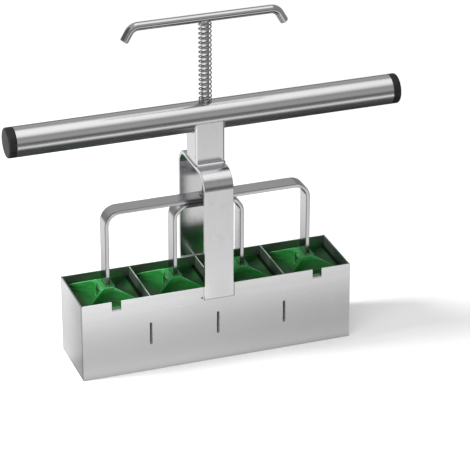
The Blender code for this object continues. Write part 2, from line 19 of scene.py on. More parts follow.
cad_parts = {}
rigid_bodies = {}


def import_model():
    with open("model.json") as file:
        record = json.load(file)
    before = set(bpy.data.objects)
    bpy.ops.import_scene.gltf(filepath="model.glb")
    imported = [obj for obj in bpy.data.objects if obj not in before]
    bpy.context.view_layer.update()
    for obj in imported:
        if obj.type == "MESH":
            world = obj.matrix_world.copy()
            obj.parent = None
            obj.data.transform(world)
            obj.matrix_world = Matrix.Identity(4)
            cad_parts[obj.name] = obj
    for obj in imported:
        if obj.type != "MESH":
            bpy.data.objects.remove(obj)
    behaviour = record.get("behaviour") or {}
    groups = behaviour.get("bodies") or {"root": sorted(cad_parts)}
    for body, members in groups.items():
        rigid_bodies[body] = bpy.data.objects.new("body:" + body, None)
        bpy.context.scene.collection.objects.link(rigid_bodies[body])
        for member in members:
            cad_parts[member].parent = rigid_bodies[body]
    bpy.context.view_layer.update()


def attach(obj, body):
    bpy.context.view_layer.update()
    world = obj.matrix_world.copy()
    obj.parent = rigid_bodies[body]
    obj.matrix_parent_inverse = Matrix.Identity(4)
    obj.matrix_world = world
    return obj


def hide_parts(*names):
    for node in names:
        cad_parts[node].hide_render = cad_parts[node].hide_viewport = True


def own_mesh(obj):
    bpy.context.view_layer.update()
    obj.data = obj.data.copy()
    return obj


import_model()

LOG = logging.getLogger("soil_blocker")

MM = 0.001
MERGE = 0.002 * MM  # points closer than this are one
FLAT = math.radians(0.6)  # faces that differ by less than this are one
SHARP = math.radians(28)  # sharper edges are rounded
CREASE = math.radians(50)  # sharper edges stay hard in the shading
X_AXIS = Vector((1, 0, 0))
Y_AXIS = Vector((0, 1, 0))
Z_AXIS = Vector((0, 0, 1))
LAY = "lay"  # each point's place along, across and out from its piece's centre line

Point2 = tuple[float, float]
Point3 = tuple[float, float, float]
Span = tuple[float, float]
Colour = tuple[float, float, float]

WHITE: Colour = (1.0, 1.0, 1.0)
BLACK: Colour = (0.0, 0.0, 0.0)
UP_SPAN: Span = (0.80, 0.98)
DOWN_SPAN: Span = (-0.26, -0.46)
EDGE_MASK_SPAN: Span = (0.995, 0.90)
EDGE_MASK_SAMPLES = 6
NOISE_ROUGHNESS = 0.55
MIX_FIRST, MIX_SECOND, MIX_RESULT = 6, 7, 2  # the colour sockets of a Mix node


class Body(Enum):
    """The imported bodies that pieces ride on."""

    MOULD = "mould"
    PRESS = "press"


class Slot(Enum):
    """The record's material slots."""

    MOULD_STEEL = "mould_steel"
    BAR_STEEL = "bar_steel"
    TUBE_STEEL = "tube_steel"
    ROD_STEEL = "rod_steel"
    SPRING_STEEL = "spring_steel"
    GREEN_PLASTIC = "green_plastic"
    BLACK_PLASTIC = "black_plastic"


class Side(Enum):
    """The left and the right end of the tool, as signs along X."""

    LEFT = -1
    RIGHT = 1


# Shader expressions


class Value:
    """A socket of a shader, which takes part in Python expressions."""

    def __init__(self, graph: "Graph", socket: bpy.types.NodeSocket) -> None:
        """Keep the socket and the graph that it is in.

        Args:
            graph: The graph that new nodes are made in.
            socket: The output socket that this value stands for.
        """
        self.graph = graph
        self.socket = socket

    def __add__(self, other: "Number") -> "Value":
        """Return the sum."""
        return self.graph.maths("ADD", self, other)

    def __radd__(self, other: "Number") -> "Value":
        """Return the sum, from the right."""
        return self.graph.maths("ADD", other, self)

    def __sub__(self, other: "Number") -> "Value":
        """Return the difference."""
        return self.graph.maths("SUBTRACT", self, other)

    def __rsub__(self, other: "Number") -> "Value":
        """Return the difference, from the right."""
        return self.graph.maths("SUBTRACT", other, self)

    def __mul__(self, other: "Number") -> "Value":
        """Return the product."""
        return self.graph.maths("MULTIPLY", self, other)

    def __rmul__(self, other: "Number") -> "Value":
        """Return the product, from the right."""
        return self.graph.maths("MULTIPLY", other, self)

    def size(self) -> "Value":
        """Return the value without its sign."""
        return self.graph.maths("ABSOLUTE", self, 0.0)

    def above(self, low: float, high: float) -> "Value":
        """Return 0 below low and 1 above high, with a smooth step between.

        Args:
            low: Where the step starts. It may be the larger of the two.
            high: Where the step ends.

        Returns:
            The step as a value from 0 to 1.
        """
        return self.graph.output(
            "ShaderNodeMapRange", {"interpolation_type": "SMOOTHSTEP"},
            {"Value": self, "From Min": low, "From Max": high, "To Min": 0.0, "To Max": 1.0}, 0)


Number = Union[Value, float]


def grey(level: float) -> Colour:
    """Return a grey of this level."""
    return (level, level, level)


class Graph:
    """The nodes of one material or world."""

    def __init__(self, tree: bpy.types.NodeTree) -> None:
        """Start with an empty tree.

        Args:
            tree: The node tree to fill.
        """
        self.tree = tree
        tree.nodes.clear()

    def node(self, kind: str, settings: dict, sockets: dict) -> bpy.types.Node:
        """Make one node.

        Args:
            kind: The node's type.
            settings: Its settings by name; "stops" holds a ramp's (place, level) pairs.
            sockets: Values or links for its input sockets, by name or number.

        Returns:
            The new node.
        """
        made = self.tree.nodes.new(kind)
        for name, setting in settings.items():
            if name == "stops":
                self.fill_ramp(made.color_ramp, setting)
            else:
                setattr(made, name, setting)
        for key, value in sockets.items():
            if isinstance(value, Value):
                self.tree.links.new(value.socket, made.inputs[key])
            else:
                made.inputs[key].default_value = value
        return made

    @staticmethod
    def fill_ramp(ramp: bpy.types.ColorRamp, stops: Sequence[Span]) -> None:
        """Give a ramp its stops.

        Args:
            ramp: The ramp to fill.
            stops: Pairs of a place from 0 to 1 and a grey level.
        """
        while len(ramp.elements) > 1:
            ramp.elements.remove(ramp.elements[-1])
        for index, (place, level) in enumerate(stops):
            stop = ramp.elements[0] if index == 0 else ramp.elements.new(place)
            stop.position = place
            stop.color = (*grey(level), 1.0)

    def output(self, kind: str, settings: dict, sockets: dict, which: Union[int, str]) -> Value:
        """Make one node and return one of its outputs.

        Args:
            kind: The node's type.
            settings: Its settings by name.
            sockets: Values or links for its input sockets.
            which: The output's name or number.

        Returns:
            The output as a value.
        """
        return Value(self, self.node(kind, settings, sockets).outputs[which])

    def maths(self, operation: str, first: Number, second: Number) -> Value:
        """Return the result of a Math node."""
        return self.output("ShaderNodeMath", {"operation": operation}, {0: first, 1: second}, 0)

    def mix(self, factor: Number, first: Union[Value, Colour], second: Union[Value, Colour]) -> Value:
        """Blend two colours.

        Args:
            factor: The share of the second colour.
            first: The colour at factor 0.
            second: The colour at factor 1.

        Returns:
            The blended colour.
        """
        ends = [end if isinstance(end, Value) else (*end, 1.0) for end in (first, second)]
        return self.output("ShaderNodeMix", {"data_type": "RGBA", "clamp_factor": True},
                           {0: factor, MIX_FIRST: ends[0], MIX_SECOND: ends[1]}, MIX_RESULT)

    def choose(self, factor: Number, first: Value, second: Value) -> Value:
        """Blend two shaders."""
        return self.output("ShaderNodeMixShader", {}, {0: factor, 1: first, 2: second}, 0)

    def ramp(self, place: Value, stops: Sequence[Span]) -> Value:
        """Return the grey level that a ramp has at a place from 0 to 1."""
        return self.output("ShaderNodeValToRGB", {"stops": stops}, {0: place}, 0)

    def split(self, vector: Value) -> list[Value]:
        """Return the three parts of a vector."""
        parts = self.node("ShaderNodeSeparateXYZ", {}, {0: vector})
        return [Value(self, socket) for socket in parts.outputs]

    def lay(self) -> Value:
        """Return the place along, across and out from the piece's centre line, in metres."""
        return self.output("ShaderNodeAttribute", {"attribute_name": LAY}, {}, "Vector")

    def object_place(self) -> list[Value]:
        """Return the place in the part's own frame, as three values in metres."""
        return self.split(self.output("ShaderNodeTexCoord", {}, {}, "Object"))

    def noise(self, place: Value, sizes: Sequence[float], detail: float) -> Value:
        """Return soft noise about 0.5 whose lumps have the given sizes.

        Args:
            place: Where on the piece.
            sizes: A lump's size along the three directions of that place, in metres.
            detail: How many finer layers are added.

        Returns:
            The noise as a value.
        """
        scaled = self.output(
            "ShaderNodeVectorMath", {"operation": "MULTIPLY"},
            {0: place, 1: tuple(1.0 / size for size in sizes)}, 0)
        return self.output(
            "ShaderNodeTexNoise", {"noise_dimensions": "3D"},
            {"Vector": scaled, "Scale": 1.0, "Detail": detail, "Roughness": NOISE_ROUGHNESS}, 0)

    def edges(self, radius: float) -> Value:
        """Return 1 along the piece's edges and 0 on its faces.

        Args:
            radius: How far from an edge the mask reaches, in metres.

        Returns:
            The mask as a value.
        """
        rounded = self.output("ShaderNodeBevel", {"samples": EDGE_MASK_SAMPLES}, {"Radius": radius}, 0)
        alike = self.output("ShaderNodeVectorMath", {"operation": "DOT_PRODUCT"},
                            {0: rounded, 1: self.normal()}, "Value")
        return alike.above(*EDGE_MASK_SPAN)

    def bump(self, height: Value, distance: float, strength: float) -> Value:
        """Return the normal of a surface with this relief."""
        return self.output("ShaderNodeBump", {},
                           {"Height": height, "Distance": distance, "Strength": strength}, 0)

    def normal(self) -> Value:
        """Return the direction that the surface faces."""
        return self.output("ShaderNodeNewGeometry", {}, {}, "Normal")

    def facing(self) -> list[Value]:
        """Return the direction that the surface faces, as three values."""
        return self.split(self.normal())

    def facing_up(self) -> Value:
        """Return 1 on the faces that look straight up and 0 on the upright ones."""
        return self.facing()[2].above(*UP_SPAN)

    def facing_down(self) -> Value:
        """Return 1 on the faces that look down and 0 on the upright ones."""
        return self.facing()[2].above(*DOWN_SPAN)

    def surface(self, colour: Value, roughness: Value, metallic: Number,
                normal: Value, specular: float) -> None:
        """Close the graph with its surface shader.

        Args:
            colour: The base colour.
            roughness: The roughness.
            metallic: 1 for metal and 0 for plastic.
            normal: The surface's normal.
            specular: The specular level.
        """
        shader = self.node("ShaderNodeBsdfPrincipled", {}, {
            "Base Color": colour, "Roughness": roughness, "Metallic": metallic,
            "Normal": normal, "Specular IOR Level": specular})
        self.node("ShaderNodeOutputMaterial", {}, {"Surface": Value(self, shader.outputs[0])})


def new_material(name: str) -> tuple[bpy.types.Material, Graph]:
    """Make a material with an empty graph.

    Args:
        name: The material's name.

    Returns:
        The material and its graph.
    """
    material = bpy.data.materials.new(name)
    material.use_nodes = True
    return material, Graph(material.node_tree)


# Finishes


@dataclass(frozen=True)
class Steel:
    """Stainless steel, with a grain along the piece, soft clouds and a painted tint along its edges.

    A span gives where a mask is 0 and where it is 1. The marks of single pieces, such as the shaded
    rims and the dried mix and shade inside the mould, stay off while their share is 0.
    """

    name: str
    tint: Colour
    roughness: float
    grain_length: float
    grain_width: float
    grain_depth: float
    grain_spread: float
    cloud_size: float
    cloud_spread: float
    smudge: float
    edge_reach: float
    painted_edge_share: float = 0.3
    painted_edge_tint: Colour = (0.94, 0.94, 0.95)
    light: float = 1.16
    dark: float = 0.84
    fine_share: float = 0.25
    fine_rough: float = 0.5
    grain_rough: float = 0.6
    worn_smooth: float = 0.25
    print_size: Point3 = (9 * MM, 6 * MM, 6 * MM)
    print_span: Span = (0.56, 0.72)
    specular: float = 0.5

    # Painted light on faces that look up, and painted shade on faces that look down
    painted_top_light: float = 0.0
    top_light_tint: Colour = (0.95, 0.95, 0.955)
    painted_under_shade: float = 0.0
    under_rough: float = 0.22
    under_shade_tint: Colour = (0.06, 0.08, 0.06)

    # Painted shade along the rims of a flat bar, and down its legs towards their lower ends
    rim_half: float = 0.0
    rim_line: float = 0.7 * MM
    rim_shade_tint: Colour = (0.12, 0.12, 0.125)
    narrow_span: Span = (0.6, 0.85)
    edge_shade: float = 0.45
    edge_span: Span = (0.6 * MM, 1.2 * MM)
    leg_shade: float = 0.36
    leg_fade: Span = (108 * MM, 66 * MM)

    # Dried mix and painted shade on the mould's inner faces, tinted green as a painted reflection of
    # the plungers
    stain_and_shade: float = 0.0
    stain_and_shade_tint: Colour = (0.095, 0.235, 0.12)
    stain_and_shade_rough: float = 0.2
    stain_and_shade_dull: float = 0.12
    inner_half_x: float = 103.75 * MM
    inner_half_y: float = 25.75 * MM
    inner_step: float = 0.3 * MM
    patch_size: Point3 = (12 * MM, 7 * MM, 7 * MM)
    patch_span: Span = (0.2, 0.6)
    patch_share: float = 0.3

    # The mould's upper rims
    upper_span: Span = (58 * MM, 59 * MM)
    upper_rough: float = 0.35
    upper_dull: float = 0.5

    # Painted shade on the left end, darker towards its front edge and near its top
    end_shade: float = 0.75
    end_shade_tint: Colour = (0.30, 0.30, 0.31)
    end_shade_fade: Span = (24 * MM, -34 * MM)
    end_shade_top: float = 0.25
    end_shade_rise: Span = (32 * MM, 60 * MM)
    outer_half_x: float = 104.3 * MM
    outer_half_y: float = 26.2 * MM
    outer_step: float = 0.2 * MM

    # Painted shadow of the bail on the wall round its foot, and a dark round spot beside it
    foot_shadow: float = 0.6
    shadow_and_spot_tint: Colour = (0.12, 0.12, 0.12)
    foot_shadow_middle: float = 0.9 * MM
    foot_shadow_reach: Span = (12.3 * MM, 11.7 * MM)
    foot_shadow_rise: Span = (50.2 * MM, 50.7 * MM)
    spot_place: Point2 = (-12.4 * MM, 52.7 * MM)
    spot_radius: float = 0.95 * MM

    # Painted shade in the long walls' slots and on their ragged rims
    slot_shade_tint: Colour = (0.03, 0.03, 0.03)
    slot_pitch: float = 52 * MM
    slot_reach: Span = (1.1 * MM, 0.85 * MM)
    slot_height: Span = (22.2 * MM, 38.8 * MM)
    slot_soft: float = 0.4 * MM
    slot_depth: Span = (25.55 * MM, 25.65 * MM)
    slot_last: Span = (78 * MM, 72.8 * MM)
    ragged_size: Point3 = (0.9 * MM, 1.6 * MM, 0.9 * MM)
    ragged_reach: float = 0.8 * MM
    ragged_pale: float = 0.3

    def stain_and_shade_mask(self, graph: Graph) -> Value:
        """Return 1 on the mould's inner faces, where dried mix and painted shade lie in patches, and 0
        outside.

        Args:
            graph: The finish's graph.

        Returns:
            The mask as a value.
        """
        x, y, _ = graph.object_place()
        inside_x = x.size().above(self.inner_half_x + self.inner_step, self.inner_half_x)
        inside_y = y.size().above(self.inner_half_y + self.inner_step, self.inner_half_y)
        patches = graph.noise(graph.lay(), self.patch_size, detail=4.0).above(*self.patch_span)
        cover = (1.0 - self.patch_share) + self.patch_share * patches
        return self.stain_and_shade * inside_x * inside_y * cover

    def painted_end_shade(self, graph: Graph) -> Value:
        """Return the painted shade on the left end's outer face, which thins towards the back.

        Args:
            graph: The finish's graph.

        Returns:
            The painted shade's cover as a value.
        """
        x, y, z = graph.object_place()
        outside = x.above(self.outer_step - self.outer_half_x, -self.outer_half_x)
        upper = self.end_shade_top * z.above(*self.end_shade_rise)
        return outside * (self.end_shade * y.above(*self.end_shade_fade) + upper)

    def painted_foot_shadow(self, graph: Graph) -> Value:
        """Return the painted shadow of the bail round its foot, and a dark round spot beside it.

        Args:
            graph: The finish's graph.

        Returns:
            The grime's cover as a value.
        """
        x, y, z = graph.object_place()
        outside = y.size().above(self.outer_half_y, self.outer_half_y + self.outer_step)
        cast_shadow = (x - self.foot_shadow_middle).size().above(*self.foot_shadow_reach)
        cast_shadow = cast_shadow * z.above(*self.foot_shadow_rise) * self.foot_shadow
        spot_x, spot_z = x - self.spot_place[0], z - self.spot_place[1]
        away = spot_x * spot_x + spot_z * spot_z
        spot = away.above(self.spot_radius ** 2, (self.spot_radius / 2) ** 2)
        return outside * (cast_shadow + spot)

    def upper_rims(self, graph: Graph) -> Value:
        """Return 1 near the mould's top, except on its two ends.

        Args:
            graph: The finish's graph.

        Returns:
            The mask as a value.
        """
        x, _, z = graph.object_place()
        between = x.size().above(self.inner_half_x, self.inner_half_x - MM)
        return between * z.above(*self.upper_span)

    def slot_shade(self, graph: Graph) -> Value:
        """Return the painted shade in the long walls' slots and on their ragged rims.

        Args:
            graph: The finish's graph.

        Returns:
            The shade's cover as a value.
        """
        x, y, z = graph.object_place()
        ragged = graph.noise(graph.lay(), self.ragged_size, detail=2.0)
        away = graph.maths("PINGPONG", x.size(), self.slot_pitch / 2)
        beside = (away + self.ragged_reach * (ragged - 0.5)).above(*self.slot_reach)
        low, high = self.slot_height
        tall = z.above(low, low + self.slot_soft) * z.above(high, high - self.slot_soft)
        outer = y.size().above(*self.slot_depth)
        inner = x.size().above(*self.slot_last)
        return (1.0 - self.ragged_pale * (1.0 - ragged)) * beside * tall * outer * inner

    def painted_rim_shade(self, graph: Graph) -> Value:
        """Return how far painted shade darkens a flat bar along its rims and down its legs.

        Args:
            graph: The finish's graph.

        Returns:
            The mask as a value.
        """
        _, across, out = graph.split(graph.lay())
        narrow = graph.facing()[1].size().above(*self.narrow_span)
        line = across.size().above(self.rim_half - self.rim_line, self.rim_half - self.rim_line / 2)
        foot = graph.object_place()[2].above(*self.leg_fade)
        wide = (1.0 - graph.facing_up()) * graph.maths("MAXIMUM", line, self.leg_shade * foot)
        edge = self.edge_shade * out.size().above(*self.edge_span)
        return narrow * edge + (1.0 - narrow) * wide

    def material(self) -> bpy.types.Material:
        """Build the finish.

        Returns:
            The finished material.
        """
        material, graph = new_material(self.name)
        lay = graph.lay()
        fine_width = self.grain_width * self.fine_share
        grain = graph.noise(lay, (self.grain_length, self.grain_width, self.grain_width), detail=4.0)
        fine = graph.noise(lay, (self.grain_length, fine_width, fine_width), detail=2.0)
        clouds = graph.noise(lay, (self.cloud_size,) * 3, detail=2.0)
        prints = graph.noise(lay, self.print_size, detail=5.0).above(*self.print_span)
        edge_mask = graph.edges(self.edge_reach)
        level = 0.5 + self.cloud_spread * (clouds - 0.5) + self.grain_spread * (grain - 0.5)
        light = tuple(min(1.0, part * self.light) for part in self.tint)
        dark = tuple(part * self.dark for part in self.tint)
        colour = graph.mix(level, dark, light)
        # A painted tint along the edges: a painted highlight where the tint is pale, a painted shade
        # where it is dark.
        colour = graph.mix(edge_mask * self.painted_edge_share, colour, self.painted_edge_tint)
        rough = 1.0 + self.fine_rough * (fine - 0.5) + self.grain_rough * (grain - 0.5)
        rough = self.roughness * rough + self.smudge * prints
        rough = rough - self.worn_smooth * self.roughness * edge_mask
        metallic = 1.0
        # Painted light on the faces that look up.
        if self.painted_top_light:
            colour = graph.mix(graph.facing_up() * self.painted_top_light, colour, self.top_light_tint)
        # Painted shade along the rims and down the legs.
        if self.rim_half:
            colour = graph.mix(self.painted_rim_shade(graph), colour, self.rim_shade_tint)
        # Painted shade on the faces that look down.
        if self.painted_under_shade:
            under = graph.facing_down()
            colour = graph.mix(under * self.painted_under_shade, colour, self.under_shade_tint)
            rough = rough + self.under_rough * under
        if self.stain_and_shade:
            stained_and_shaded = self.stain_and_shade_mask(graph)
            upper = graph.facing_up() * self.upper_rims(graph)
            # Painted shade on the left end.
            colour = graph.mix(self.painted_end_shade(graph), colour, self.end_shade_tint)
            # Painted shadow round the bail's foot, and a dark round spot beside it.
            colour = graph.mix(self.painted_foot_shadow(graph), colour, self.shadow_and_spot_tint)
            # Dried mix and painted shade inside the mould.
            colour = graph.mix(stained_and_shaded, colour, self.stain_and_shade_tint)
            # Painted shade in the slots.
            colour = graph.mix(self.slot_shade(graph), colour, self.slot_shade_tint)
            rough = rough + self.stain_and_shade_rough * stained_and_shaded + self.upper_rough * upper
            metallic = 1.0 - self.stain_and_shade_dull * stained_and_shaded - self.upper_dull * upper
        normal = graph.bump(grain + fine, self.grain_depth, 1.0)
        graph.surface(colour, rough, metallic, normal, self.specular)
        return material


@dataclass(frozen=True)
class MouldedPlastic:
    """Moulded plastic with a fine texture, faint flow marks, paler scuffs and painted highlights along
    its ridges and edges.

    A span gives where a mask is 0 and where it is 1. The marks of a plunger stay off while its painted
    shade in the low places is 0.
    """

    name: str
    tint: Colour
    painted_edge_tint: Colour
    roughness: float
    texture_size: float
    texture_depth: float
    flow_spread: float
    specular: float
    edge_reach: float = 0.6 * MM
    edge_highlight_share: float = 0.55
    relief: float = 0.7
    texture_rough: float = 0.10
    flow_size: Point3 = (14 * MM, 8 * MM, 8 * MM)
    flow_span: Span = (0.3, 0.7)
    flow_rough: float = 0.16
    scuff_size: Point3 = (6 * MM, 0.5 * MM, 0.8 * MM)
    scuff_span: Span = (0.60, 0.74)
    scuff_rough: float = 0.12
    scuff_wear: float = 0.25
    scuff_relief: float = 0.6

    # Painted shade in a plunger's low places and on its rim beside the walls
    valley_shade: float = 0.0
    valley_shade_tint: Colour = (0.003, 0.045, 0.006)
    valley_span: Span = (4.5 * MM, 0.8 * MM)
    rim_half: float = 25.2 * MM
    rim_shade_tint: Colour = (0.0004, 0.006, 0.001)
    rim_span: Span = (21.8 * MM, 22.8 * MM)
    rim_end: Span = (24.3 * MM, 24.9 * MM)
    rim_rough: float = 0.5
    rim_wear: Span = (0.2, 0.6)

    # Painted light on a plunger's rise to its boss, and weaker painted highlights on its right-hand
    # ridges
    crest_light_tint: Colour = (0.032, 0.27, 0.06)
    crest_light_share: float = 0.55
    crest_span: Span = (6.0 * MM, 9.0 * MM)
    right_span: Span = (27 * MM, 33 * MM)
    right_fade: float = 0.75

    def dress_plunger(self, graph: Graph, colour: Value, rough: Value,
                      wear_and_highlight: Value) -> tuple[Value, Value, Value]:
        """Give a plunger painted shade in its low places and on its rim, painted light on its crest
        and weaker painted highlights on its right side.

        Args:
            graph: The finish's graph.
            colour: The plain colour.
            rough: The plain roughness.
            wear_and_highlight: How far the ridges pale with painted highlights and the scuffs pale.

        Returns:
            The colour, the roughness, and how far the scuffs and painted highlights pale.
        """
        along, across, height = graph.split(graph.lay())
        valleys = self.valley_shade * height.above(*self.valley_span)
        rim = (along - self.rim_half).above(*self.rim_span) + across.size().above(*self.rim_end)
        high = height.above(*self.crest_span)
        right = along.above(*self.right_span) * (1.0 - high)
        # Painted shade in the low places and on the rim beside the walls.
        colour = graph.mix(valleys, colour, self.valley_shade_tint)
        colour = graph.mix(rim, colour, self.rim_shade_tint)
        # Painted light on the rise to the boss.
        colour = graph.mix(self.crest_light_share * high, colour, self.crest_light_tint)
        # The painted ridge highlights fade on the rim and on the right-hand ridges.
        wear_and_highlight = wear_and_highlight * (1.0 - rim.above(*self.rim_wear)) * (1.0 - self.right_fade * right)
        return colour, rough + self.rim_rough * rim, wear_and_highlight

    def material(self) -> bpy.types.Material:
        """Build the finish.

        Returns:
            The finished material.
        """
        material, graph = new_material(self.name)
        lay = graph.lay()
        flow = graph.noise(lay, self.flow_size, detail=3.0)
        texture = graph.noise(lay, (self.texture_size,) * 3, detail=2.0)
        scuffs = graph.noise(lay, self.scuff_size, detail=3.0).above(*self.scuff_span)
        edge_mask = graph.edges(self.edge_reach)
        deep = tuple(part * (1.0 - self.flow_spread) for part in self.tint)
        pale = tuple(part * (1.0 + self.flow_spread) for part in self.tint)
        colour = graph.mix(flow.above(*self.flow_span), deep, pale)
        rough = self.roughness + self.flow_rough * (flow - 0.5)
        rough = rough + self.texture_rough * (texture - 0.5) + self.scuff_rough * scuffs
        wear_and_highlight = scuffs * self.scuff_wear + edge_mask * self.edge_highlight_share
        if self.valley_shade:
            colour, rough, wear_and_highlight = self.dress_plunger(graph, colour, rough, wear_and_highlight)
        # Paler scuffs, and painted highlights along the ridges and edges.
        colour = graph.mix(wear_and_highlight, colour, self.painted_edge_tint)
        normal = graph.bump(texture + self.scuff_relief * scuffs, self.texture_depth, self.relief)
        graph.surface(colour, rough, 0.0, normal, self.specular)
        return material


# The sheet paints light on its tops, and shade inside the mould, on the left end, round the bail's
# foot and in the slots.
SHEET_STEEL = Steel(
    name="satin_sheet", tint=(0.88, 0.872, 0.886), roughness=0.24, grain_length=60 * MM,
    grain_width=0.8 * MM, grain_depth=0.0008 * MM, grain_spread=0.12, cloud_size=60 * MM,
    cloud_spread=0.3, smudge=0.015, edge_reach=0.4 * MM, painted_edge_share=0.1, painted_top_light=0.9, stain_and_shade=0.7)
# The bar's dark edge tint is a painted shade along its edges.
BAR_STEEL = Steel(
    name="grained_bar", tint=(0.85, 0.842, 0.856), roughness=0.19, grain_length=30 * MM,
    grain_width=0.6 * MM, grain_depth=0.0015 * MM, grain_spread=0.3, cloud_size=35 * MM,
    cloud_spread=0.25, smudge=0.03, edge_reach=0.5 * MM, painted_edge_share=0.3,
    painted_edge_tint=(0.35, 0.35, 0.36))
# The yoke paints shade along its edges, its rims and down its legs, and light on its tops.
YOKE_STEEL = Steel(
    name="brushed_yoke", tint=(0.70, 0.692, 0.706), roughness=0.15, grain_length=24 * MM,
    grain_width=0.5 * MM, grain_depth=0.002 * MM, grain_spread=0.5, cloud_size=30 * MM,
    cloud_spread=0.3, smudge=0.04, edge_reach=0.5 * MM, painted_edge_share=0.6,
    painted_edge_tint=(0.18, 0.18, 0.185), painted_top_light=0.3, rim_half=6.35 * MM)
# The tube paints shade on its underside.
TUBE_STEEL = Steel(
    name="bright_tube", tint=(0.88, 0.872, 0.888), roughness=0.21, grain_length=80 * MM,
    grain_width=0.7 * MM, grain_depth=0.001 * MM, grain_spread=0.14, cloud_size=50 * MM,
    cloud_spread=0.18, smudge=0.03, edge_reach=0.4 * MM, painted_under_shade=0.6)
ROD_STEEL = Steel(
    name="bright_rod", tint=(0.82, 0.812, 0.826), roughness=0.12, grain_length=24 * MM,
    grain_width=0.4 * MM, grain_depth=0.001 * MM, grain_spread=0.25, cloud_size=20 * MM,
    cloud_spread=0.25, smudge=0.03, edge_reach=0.4 * MM)
SPRING_WIRE = Steel(
    name="drawn_wire", tint=(0.47, 0.465, 0.478), roughness=0.11, grain_length=10 * MM,
    grain_width=0.2 * MM, grain_depth=0.001 * MM, grain_spread=0.35, cloud_size=8 * MM,
    cloud_spread=0.35, smudge=0.03, edge_reach=0.1 * MM, painted_edge_share=0.0)
# The green paints highlights on its ridges, shade in its low places and beside the walls, and light on
# its crest.
PLUNGER_GREEN = MouldedPlastic(
    name="plunger_green", tint=(0.0085, 0.105, 0.0165), painted_edge_tint=(0.14, 0.42, 0.18),
    roughness=0.36, texture_size=0.5 * MM, texture_depth=0.03 * MM, flow_spread=0.22,
    specular=0.42, edge_reach=0.7 * MM, edge_highlight_share=0.7, valley_shade=0.6)
CAP_BLACK = MouldedPlastic(
    name="cap_black", tint=(0.011, 0.011, 0.012), painted_edge_tint=(0.05, 0.05, 0.052),
    roughness=0.42, texture_size=0.45 * MM, texture_depth=0.05 * MM, flow_spread=0.25,
    specular=0.36)


# Mesh making


HOLE_STEPS = 48
HOLE_LENGTH = 12 * MM
FLAT_WEIGHT = 80  # how far flat faces keep their own shading beside rounded edges


def arc(centre: Point2, radius: float, start: float, end: float, steps: int) -> list[Point2]:
    """Return points along an arc, both ends included.

    Args:
        centre: The arc's centre.
        radius: Its radius.
        start: The first point's angle in degrees.
        end: The last point's angle in degrees.
        steps: The number of steps between them.

    Returns:
        The points.
    """
    points = []
    for index in range(steps + 1):
        angle = math.radians(start + (end - start) * index / steps)
        points.append((centre[0] + radius * math.cos(angle), centre[1] + radius * math.sin(angle)))
    return points


def level_line(left: float, right: float, z: float, y: float = 0.0) -> list[Vector]:
    """Return a level line along the mould."""
    return [Vector((left, y, z)), Vector((right, y, z))]


def upright_line(low: float, high: float, x: float = 0.0) -> list[Vector]:
    """Return a line that runs straight up."""
    return [Vector((x, 0, low)), Vector((x, 0, high))]


def rectangle(centre: Point2, width: float, height: float) -> list[Point2]:
    """Return the corners of a rectangle.

    Args:
        centre: Its centre.
        width: Its width.
        height: Its height.

    Returns:
        The corners, counter-clockwise.
    """
    (x, y), half_x, half_y = centre, width / 2, height / 2
    return [(x - half_x, y - half_y), (x + half_x, y - half_y),
            (x + half_x, y + half_y), (x - half_x, y + half_y)]


def rounded_rectangle(half_x: float, half_y: float, radius: float, steps: int) -> list[Point2]:
    """Return the outline of a rectangle with round corners.

    Args:
        half_x: Half its width.
        half_y: Half its height.
        radius: The corners' radius.
        steps: The steps in each corner.

    Returns:
        The outline, counter-clockwise.
    """
    points = []
    for sign_x, sign_y, start in ((1, 1, 0), (-1, 1, 90), (-1, -1, 180), (1, -1, 270)):
        centre = (sign_x * (half_x - radius), sign_y * (half_y - radius))
        points += arc(centre, radius, start, start + 90, steps)
    return points


def to_mesh(shape: bmesh.types.BMesh, name: str) -> bpy.types.Mesh:
    """Turn a shape into a mesh and free the shape.

    Args:
        shape: The shape.
        name: The mesh's name.

    Returns:
        The mesh.
    """
    bmesh.ops.recalc_face_normals(shape, faces=shape.faces)
    mesh = bpy.data.meshes.new(name)
    shape.to_mesh(mesh)
    shape.free()
    return mesh


def plate(loops: Sequence[Sequence[Point2]], thickness: float, turn: Matrix) -> bmesh.types.BMesh:
    """Make a flat plate from its outline and the holes in it.

    Args:
        loops: The outline, then the holes.
        thickness: The plate's thickness.
        turn: Where the plate's own plane goes.

    Returns:
        The plate with flat faces left whole.
    """
    drawing = bpy.data.curves.new("outline", "CURVE")
    drawing.dimensions = "2D"
    drawing.fill_mode = "BOTH"
    drawing.extrude = thickness / 2
    for loop in loops:
        spline = drawing.splines.new("POLY")
        spline.points.add(len(loop) - 1)
        for point, (x, y) in zip(spline.points, loop):
            point.co = (x, y, 0, 1)
        spline.use_cyclic_u = True
    holder = bpy.data.objects.new("outline", drawing)
    bpy.context.scene.collection.objects.link(holder)
    flat = bpy.data.meshes.new_from_object(
        holder.evaluated_get(bpy.context.evaluated_depsgraph_get()))
    bpy.data.objects.remove(holder, do_unlink=True)
    bpy.data.curves.remove(drawing)
    shape = bmesh.new()
    shape.from_mesh(flat)
    bpy.data.meshes.remove(flat)
    bmesh.ops.remove_doubles(shape, verts=shape.verts, dist=MERGE)
    put(shape, turn)
    bmesh.ops.recalc_face_normals(shape, faces=shape.faces)
    return shape


def put(shape: bmesh.types.BMesh, place: Matrix) -> None:
    """Move a shape to its place."""
    bmesh.ops.transform(shape, matrix=place, verts=shape.verts)


def merge_flats(shape: bmesh.types.BMesh) -> None:
    """Join the triangles of each flat face."""
    bmesh.ops.dissolve_limit(shape, angle_limit=FLAT, verts=shape.verts, edges=shape.edges,
                             delimit=set())


